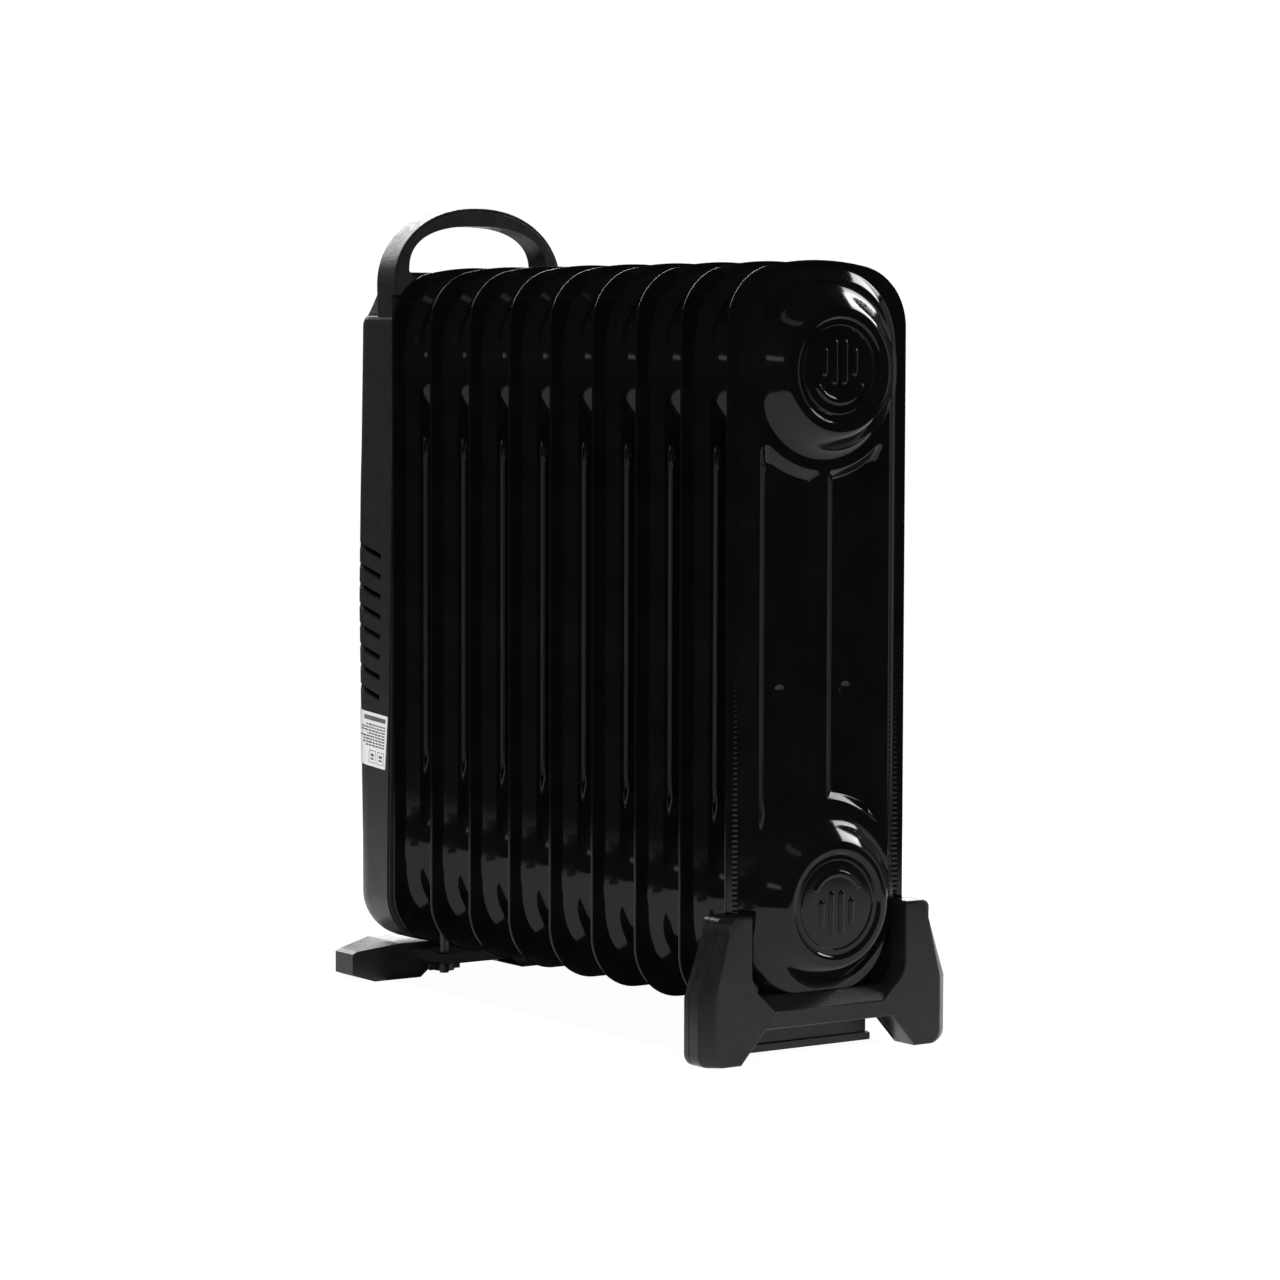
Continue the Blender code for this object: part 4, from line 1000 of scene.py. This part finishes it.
def make_knob():
    """Fluted knob with a raised pointer line, riding on the thermostat's spindle."""
    low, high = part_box("thermostat_knob")
    centre, depth, radius = (low + high) / 2, high.x - low.x, (high.y - low.y) / 2

    def fluted(along, r, angle):
        if -depth + 0.0009 < along < -0.0036:
            return r * (1 - 0.035 * (0.5 - 0.5 * math.cos(24 * angle)) ** 1.5)
        return r

    profile = [(-depth + 0.0003, 0.0), (-depth + 0.0003, radius * 0.72), (-depth, radius * 0.745)]
    profile += [(-depth + 0.0009, radius * 0.80), (-depth + 0.0011, radius * 0.83), (-0.0045, radius * 0.90)]
    profile += [(-0.0037, radius * 0.90), (-0.0035, radius * 0.965), (-0.0028, radius), (-0.0006, radius)]
    profile += [(-0.0002, radius * 0.985), (0.0, radius * 0.95), (0.0, 0.0034), (-depth + 0.003, 0.0034)]
    profile = [(x, max(r, 0.0002)) for x, r in profile]
    at = Vector((high.x, centre.y, centre.z))
    add_piece("thermostat_knob_moulding", turned(profile, 192, radius_at=fluted), KNOB_PLASTIC,
              ["thermostat_knob"], body="knob", at=at)
    bm = bmesh.new()
    half, start, end = 0.0006, radius * 0.28, radius * 0.68
    outline = [(-half, start), (half, start)] + arc(0, end, half, 0, 180, 8)
    narrow = [(y * 0.7, z) for y, z in outline]
    outline, narrow = [[turned_to_start(*point) for point in ring] for ring in (outline, narrow)]
    near, far = loop(bm, outline, -depth + 0.00015), loop(bm, outline, -depth + 0.0004)
    top = loop(bm, narrow, -depth)
    bridge(bm, far, near)
    bridge(bm, near, top)
    fill(bm, [top])
    fill(bm, [far])
    add_piece("thermostat_knob_pointer", to_mesh("pointer", bm), WHITE_MARK, body="knob", at=at)


def make_dial_marks():
    """Ticks round the knob, longer at each end and in the middle."""
    knob = node_centre("thermostat_knob")
    bm = bmesh.new()
    for i in range(DIAL_STEPS + 1):
        angle = math.radians(-DIAL_HALF + 2 * DIAL_HALF * i / DIAL_STEPS)
        inner, length = DIAL_RADIUS, LONG_TICK if i % 5 == 0 else SHORT_TICK
        direction, across = (math.sin(angle), math.cos(angle)), (math.cos(angle), -math.sin(angle))
        corners = []
        for along, sideways in ((inner, -1), (inner, 1), (inner + length, 1), (inner + length, -1)):
            width = 0.0004 * sideways * (1 + 0.5 * i / DIAL_STEPS)
            corners.append((knob.y + direction[0] * along + across[0] * width,
                            knob.z + direction[1] * along + across[1] * width))
        close(bm, [loop(bm, corners, SHELL_BACK - 0.0001), loop(bm, corners, SHELL_BACK + 0.0002)])
    add_piece("dial_ticks", to_mesh("dial_ticks", bm), WHITE_MARK)


make_knob()
make_dial_marks()


# ---------------- feet
FOOT_LOW, FOOT_HIGH = [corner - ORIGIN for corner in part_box("near_foot_front")]
REAR_LOW, REAR_HIGH = [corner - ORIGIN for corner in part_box("near_foot_rear")]
FOOT_HALF = FOOT_HIGH.y
FOOT_ARM_INNER = 0.0466
FOOT_ARM_TOP = FOOT_HIGH.z
FOOT_CHAMFER = 0.0065
FIN_POCKET = 0.0011
LIP_REACH, LIP_TOP = 0.0017, -0.0143
# height, set-back from the foot's face and half width of the ledge on the crossbar
LEDGE = ((0.0030, 0.0004, 0.0335), (0.0045, 0.0006, 0.0340), (0.0108, 0.0062, 0.0405), (0.0114, 0.0070, 0.0408))


def foot_outline(pull, all_round=0.0):
    """Front view of the H-shaped foot; pull draws in the outer edges, all_round every edge."""
    a = all_round
    outer = FOOT_HALF - pull - a
    low = FLOOR + a
    points = [(0.0, -0.004 + a), (0.0385 + a * 0.4, -0.004 + a), (0.053 + a * 0.4, low)]
    points += arc(outer - 0.006 + a, FLOOR + 0.006, 0.006 - a, -90, 0, 6)
    points += [(outer, 0.013), (0.0645 - pull * 0.55 - a, FOOT_ARM_TOP - 0.009)]
    points += arc(0.0600 - pull * 0.45 - a, FOOT_ARM_TOP - 0.0042, 0.0042 - a, 12, 80, 5)
    points += [(FOOT_ARM_INNER + 0.0012 + a, FOOT_ARM_TOP - a)]
    points += [(FOOT_ARM_INNER + a, FOOT_ARM_TOP - 0.0012 - a)]
    points += arc(FOOT_ARM_INNER - 0.016, 0.0245, 0.016 + a, 0, -58, 10)
    points += [(0.033, 0.0045 - a), (0.0, 0.0045 - a)]
    return mirrored(points)


def loft(sections):
    """Solid through (x, outline) sections of equal point counts."""
    bm = bmesh.new()
    rings = [loop(bm, outline, x) for x, outline in sections]
    close(bm, rings)
    return to_mesh("loft", bm, 25)


def crossbar_ledge():
    """Sloping ledge along the top of the crossbar, wider towards its upper edge."""
    back = REAR_HIGH.x + 0.0003
    bm = bmesh.new()
    rings = []
    for z, set_back, half in LEDGE:
        front = FOOT_HIGH.x - set_back
        corners = ((back, -half), (front, -half), (front, half), (back, half))
        rings.append([bm.verts.new((x, y, z)) for x, y in corners])
    close(bm, rings, whole=True)
    return to_mesh("ledge", bm, 25)


def make_clamp_plate():
    """Clamp plate with its face set back above the lip along its lower edge."""
    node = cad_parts["near_foot_clamp_plate"]
    mesh = node.data.copy()
    mesh.transform(Matrix.Translation(-ORIGIN) @ node.matrix_world)
    mesh.materials.clear()
    front = max(vert.co.x for vert in mesh.vertices)
    recess = box_mesh((front - LIP_REACH, -0.06, LIP_TOP), (front + 0.01, 0.06, 0.0))
    mesh = cut(mesh, recess)
    piece = add_piece("near_foot_clamp_moulding", mesh, FOOT_PLASTIC,
                      ["near_foot_clamp_plate"])
    round_edges(piece, 0.0005)


def make_near_foot():
    front, edge = FOOT_HIGH.x, 0.0007
    sections = [(FOOT_LOW.x, foot_outline(0.0, 0.0003)), (FOOT_LOW.x + 0.0003, foot_outline(0.0))]
    sections += [(front - 0.0056, foot_outline(0.0)), (front - 0.0049, foot_outline(0.0007))]
    sections += [(front - 0.0011, foot_outline(FOOT_CHAMFER - 0.0012))]
    sections += [(front - 0.0004, foot_outline(FOOT_CHAMFER - 0.0002, edge * 0.25))]
    sections += [(front, foot_outline(FOOT_CHAMFER, edge))]
    cutter_points = [tuple(p) for p in fin_outline(-0.0004)]
    mesh = combine(loft(sections), crossbar_ledge(), "UNION")
    mesh = cut(mesh, prism(cutter_points, -FIN_POCKET, FIN_POCKET))
    piece = add_piece("near_foot_front_moulding", mesh, FOOT_PLASTIC, ["near_foot_front"])
    weighted_normals(piece)
    low, high = REAR_LOW.x, REAR_HIGH.x
    sections = [(low, foot_outline(0.0, 0.0008)), (low + 0.0003, foot_outline(0.0, 0.00025))]
    sections += [(low + 0.0008, foot_outline(0.0)), (high - 0.0003, foot_outline(0.0))]
    sections += [(high, foot_outline(0.0, 0.0003))]
    mesh = combine(loft(sections), prism(cutter_points, -FIN_POCKET, FIN_POCKET), "DIFFERENCE")
    piece = add_piece("near_foot_rear_moulding", mesh, FOOT_PLASTIC, ["near_foot_rear"])
    weighted_normals(piece)


make_near_foot()
make_clamp_plate()

# ---------------- CAD nodes that stay, with bevel widths
KEPT = {
    "far_foot": (FOOT_PLASTIC, 0.0008),
    "rating_plate": (LABEL, 0.0),
    "thermostat_shaft": (ZINC, 0.0002),
    "thermostat_body": (BAKELITE, 0.0005),
    "rocker_switch_1_case": (BAKELITE, 0.0004),
    "rocker_switch_2_case": (BAKELITE, 0.0004),
    "rocker_1": (LAMP, 0.0003),
    "rocker_2": (LAMP, 0.0003),
    "terminal_block": (BAKELITE, 0.0004),
    "thermal_cutout": (ZINC, 0.0003),
    "cord_inlet": (RUBBER, 0.0003),
    "heating_element": (ZINC, 0.0),
    "element_flange": (BRASS, 0.0004),
    "flange_gasket": (RUBBER, 0.0),
    "oil_filler_plug": (BRASS, 0.0004),
    "support_bracket": (ZINC, 0.0002),
    "near_foot_u_bolt": (DARK_STEEL, 0.0),
    "far_foot_u_bolt": (DARK_STEEL, 0.0),
}
for number in range(1, 5):
    KEPT[f"housing_screw_{number}"] = (ZINC, 0.0002)
for side in ("near", "far"):
    for number in (1, 2):
        KEPT[f"{side}_foot_wing_nut_{number}"] = (DARK_STEEL, 0.0003)

for node, (material, width) in KEPT.items():
    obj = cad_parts[node]
    obj.data.materials.clear()
    obj.data.materials.append(material)
    if width:
        round_edges(obj, width)

# ---------------- camera
FOCAL = 116.28
YAW, TILT, ROLL = math.radians(34.86), math.radians(4.13), math.radians(0.15)
CAMERA_PLACE = ORIGIN + Vector((1.59012, -1.21153, 0.3256))


def make_camera():
    ahead = Vector((-math.cos(YAW) * math.cos(TILT), math.sin(YAW) * math.cos(TILT), -math.sin(TILT)))
    level = Vector((math.sin(YAW), math.cos(YAW), 0))
    above = level.cross(ahead)
    right = level * math.cos(ROLL) + above * math.sin(ROLL)
    up = above * math.cos(ROLL) - level * math.sin(ROLL)
    data = bpy.data.cameras.new("camera")
    data.lens = FOCAL
    data.sensor_width = 36
    data.clip_start, data.clip_end = 0.05, 200
    camera = link_object("camera", data)
    turn = Matrix((right, up, -ahead)).transposed().to_4x4()
    camera.matrix_world = Matrix.Translation(CAMERA_PLACE) @ turn
    bpy.context.scene.camera = camera


# ---------------- floor, light and surroundings
FLOOR_RADIUS, FLOOR_GLOW = 0.8, 0.97
# extent of the painted shade: a dark card under the heater, seen only in reflections
SHADE_BACK, SHADE_FRONT, SHADE_HALF = FIRST_X - 0.030, -0.004, 0.054


def make_floor():
    """Round pale floor; beyond it the camera sees the same white."""
    bm = bmesh.new()
    bmesh.ops.create_circle(bm, cap_ends=True, segments=96, radius=FLOOR_RADIUS)
    mesh = bpy.data.meshes.new("floor")
    bm.to_mesh(mesh)
    bm.free()
    made, shader, _ = new_material(
        "pale_floor", ((0.11, 0.11, 0.11), (0.13, 0.13, 0.13), 2), (0.7, 0.8, 3))
    shader.inputs["Emission Color"].default_value = (1, 1, 1, 1)
    shader.inputs["Emission Strength"].default_value = FLOOR_GLOW
    shader.inputs["Specular IOR Level"].default_value = 0.1
    mesh.materials.append(made)
    floor = link_object("floor", mesh)


def make_painted_floor_shade():
    """Painted shade: a dark card on the floor under the heater, standing in for the shadow there, seen in
    reflections only; the camera doesn't see it.
    """
    height = FLOOR + 0.0004
    bm = bmesh.new()
    corners = ((SHADE_BACK, -SHADE_HALF), (SHADE_FRONT, -SHADE_HALF),
               (SHADE_FRONT, SHADE_HALF), (SHADE_BACK, SHADE_HALF))
    bm.faces.new([bm.verts.new((x, y, height)) for x, y in corners])
    # dark colour painted in as the shade on the floor beneath the heater
    made, _, _ = new_material(
        "painted_floor_shade", ((0.02, 0.02, 0.02), (0.03, 0.03, 0.03), 5), (0.8, 0.9, 5))
    mesh = bpy.data.meshes.new("painted_shade_card")
    bm.to_mesh(mesh)
    bm.free()
    mesh.materials.append(made)
    shade_card = link_object("painted_shade_card", mesh)
    shade_card.location = ORIGIN
    shade_card.visible_camera = False


def add_light(name, data, aim):
    light = link_object(name, data)
    light.rotation_mode = "QUATERNION"
    light.rotation_quaternion = aim.to_track_quat("-Z", "Y")
    return light


def add_softbox(name, place, target, width, height, glow, diffuse=True):
    """Rectangular light of a given brightness that the camera itself doesn't see."""
    data = bpy.data.lights.new(name, "AREA")
    data.shape = "RECTANGLE"
    data.size, data.size_y = width, height
    data.energy = glow * math.pi * width * height
    light = add_light(name, data, Vector(target) - Vector(place))
    light.location = place
    light.visible_diffuse = diffuse
    light.visible_camera = False


def add_sun(direction, strength, angle):
    """Broad daylight for matt surfaces and the floor; gloss doesn't mirror it."""
    data = bpy.data.lights.new("sun", "SUN")
    data.energy, data.angle = strength, math.radians(angle)
    light = add_light("sun", data, Vector(direction))
    light.visible_glossy = False


def make_world():
    """White to the camera, dim to everything else, so that gloss stays dark."""
    world = bpy.data.worlds.new("studio")
    bpy.context.scene.world = world
    world.use_nodes = True
    nodes, links = world.node_tree.nodes, world.node_tree.links
    dim = nodes["Background"]
    dim.inputs["Color"].default_value = (0.035, 0.035, 0.037, 1)
    bright = nodes.new("ShaderNodeBackground")
    bright.inputs["Color"].default_value = (1.02, 1.02, 1.02, 1)
    rays, mix = nodes.new("ShaderNodeLightPath"), nodes.new("ShaderNodeMixShader")
    links.new(rays.outputs["Is Camera Ray"], mix.inputs["Fac"])
    links.new(dim.outputs["Background"], mix.inputs[1])
    links.new(bright.outputs["Background"], mix.inputs[2])
    links.new(mix.outputs["Shader"], nodes["World Output"].inputs["Surface"])


make_camera()
make_floor()
make_world()
# painted shade under the heater, seen only in reflections
make_painted_floor_shade()
add_sun((-0.50, 0.62, -0.60), 2.5, 50)
add_softbox("key", (0.05, 1.7, 1.30), (0, 0, 0.25), 1.2, 0.75, 10)
add_softbox("window", (1.25, -2.25, 0.92), (0, 0, 0.25), 0.42, 0.20, 1.8, False)
add_softbox("side", (0.75, 2.2, 0.42), (0, 0, 0.20), 1.5, 1.1, 0.5, False)
add_softbox("back", (-2.2, 0.25, 1.45), (0, 0, 0.30), 2.2, 0.8, 7.5, False)
add_softbox("horizon", (-1.9, 1.65, 0.45), (0, 0, 0.20), 1.2, 0.8, 4.5, False)
add_softbox("top", (0.75, -0.55, 1.75), (0, 0, 0.35), 0.40, 0.16, 0.6, False)
bpy.context.scene.view_settings.view_transform = "Standard"
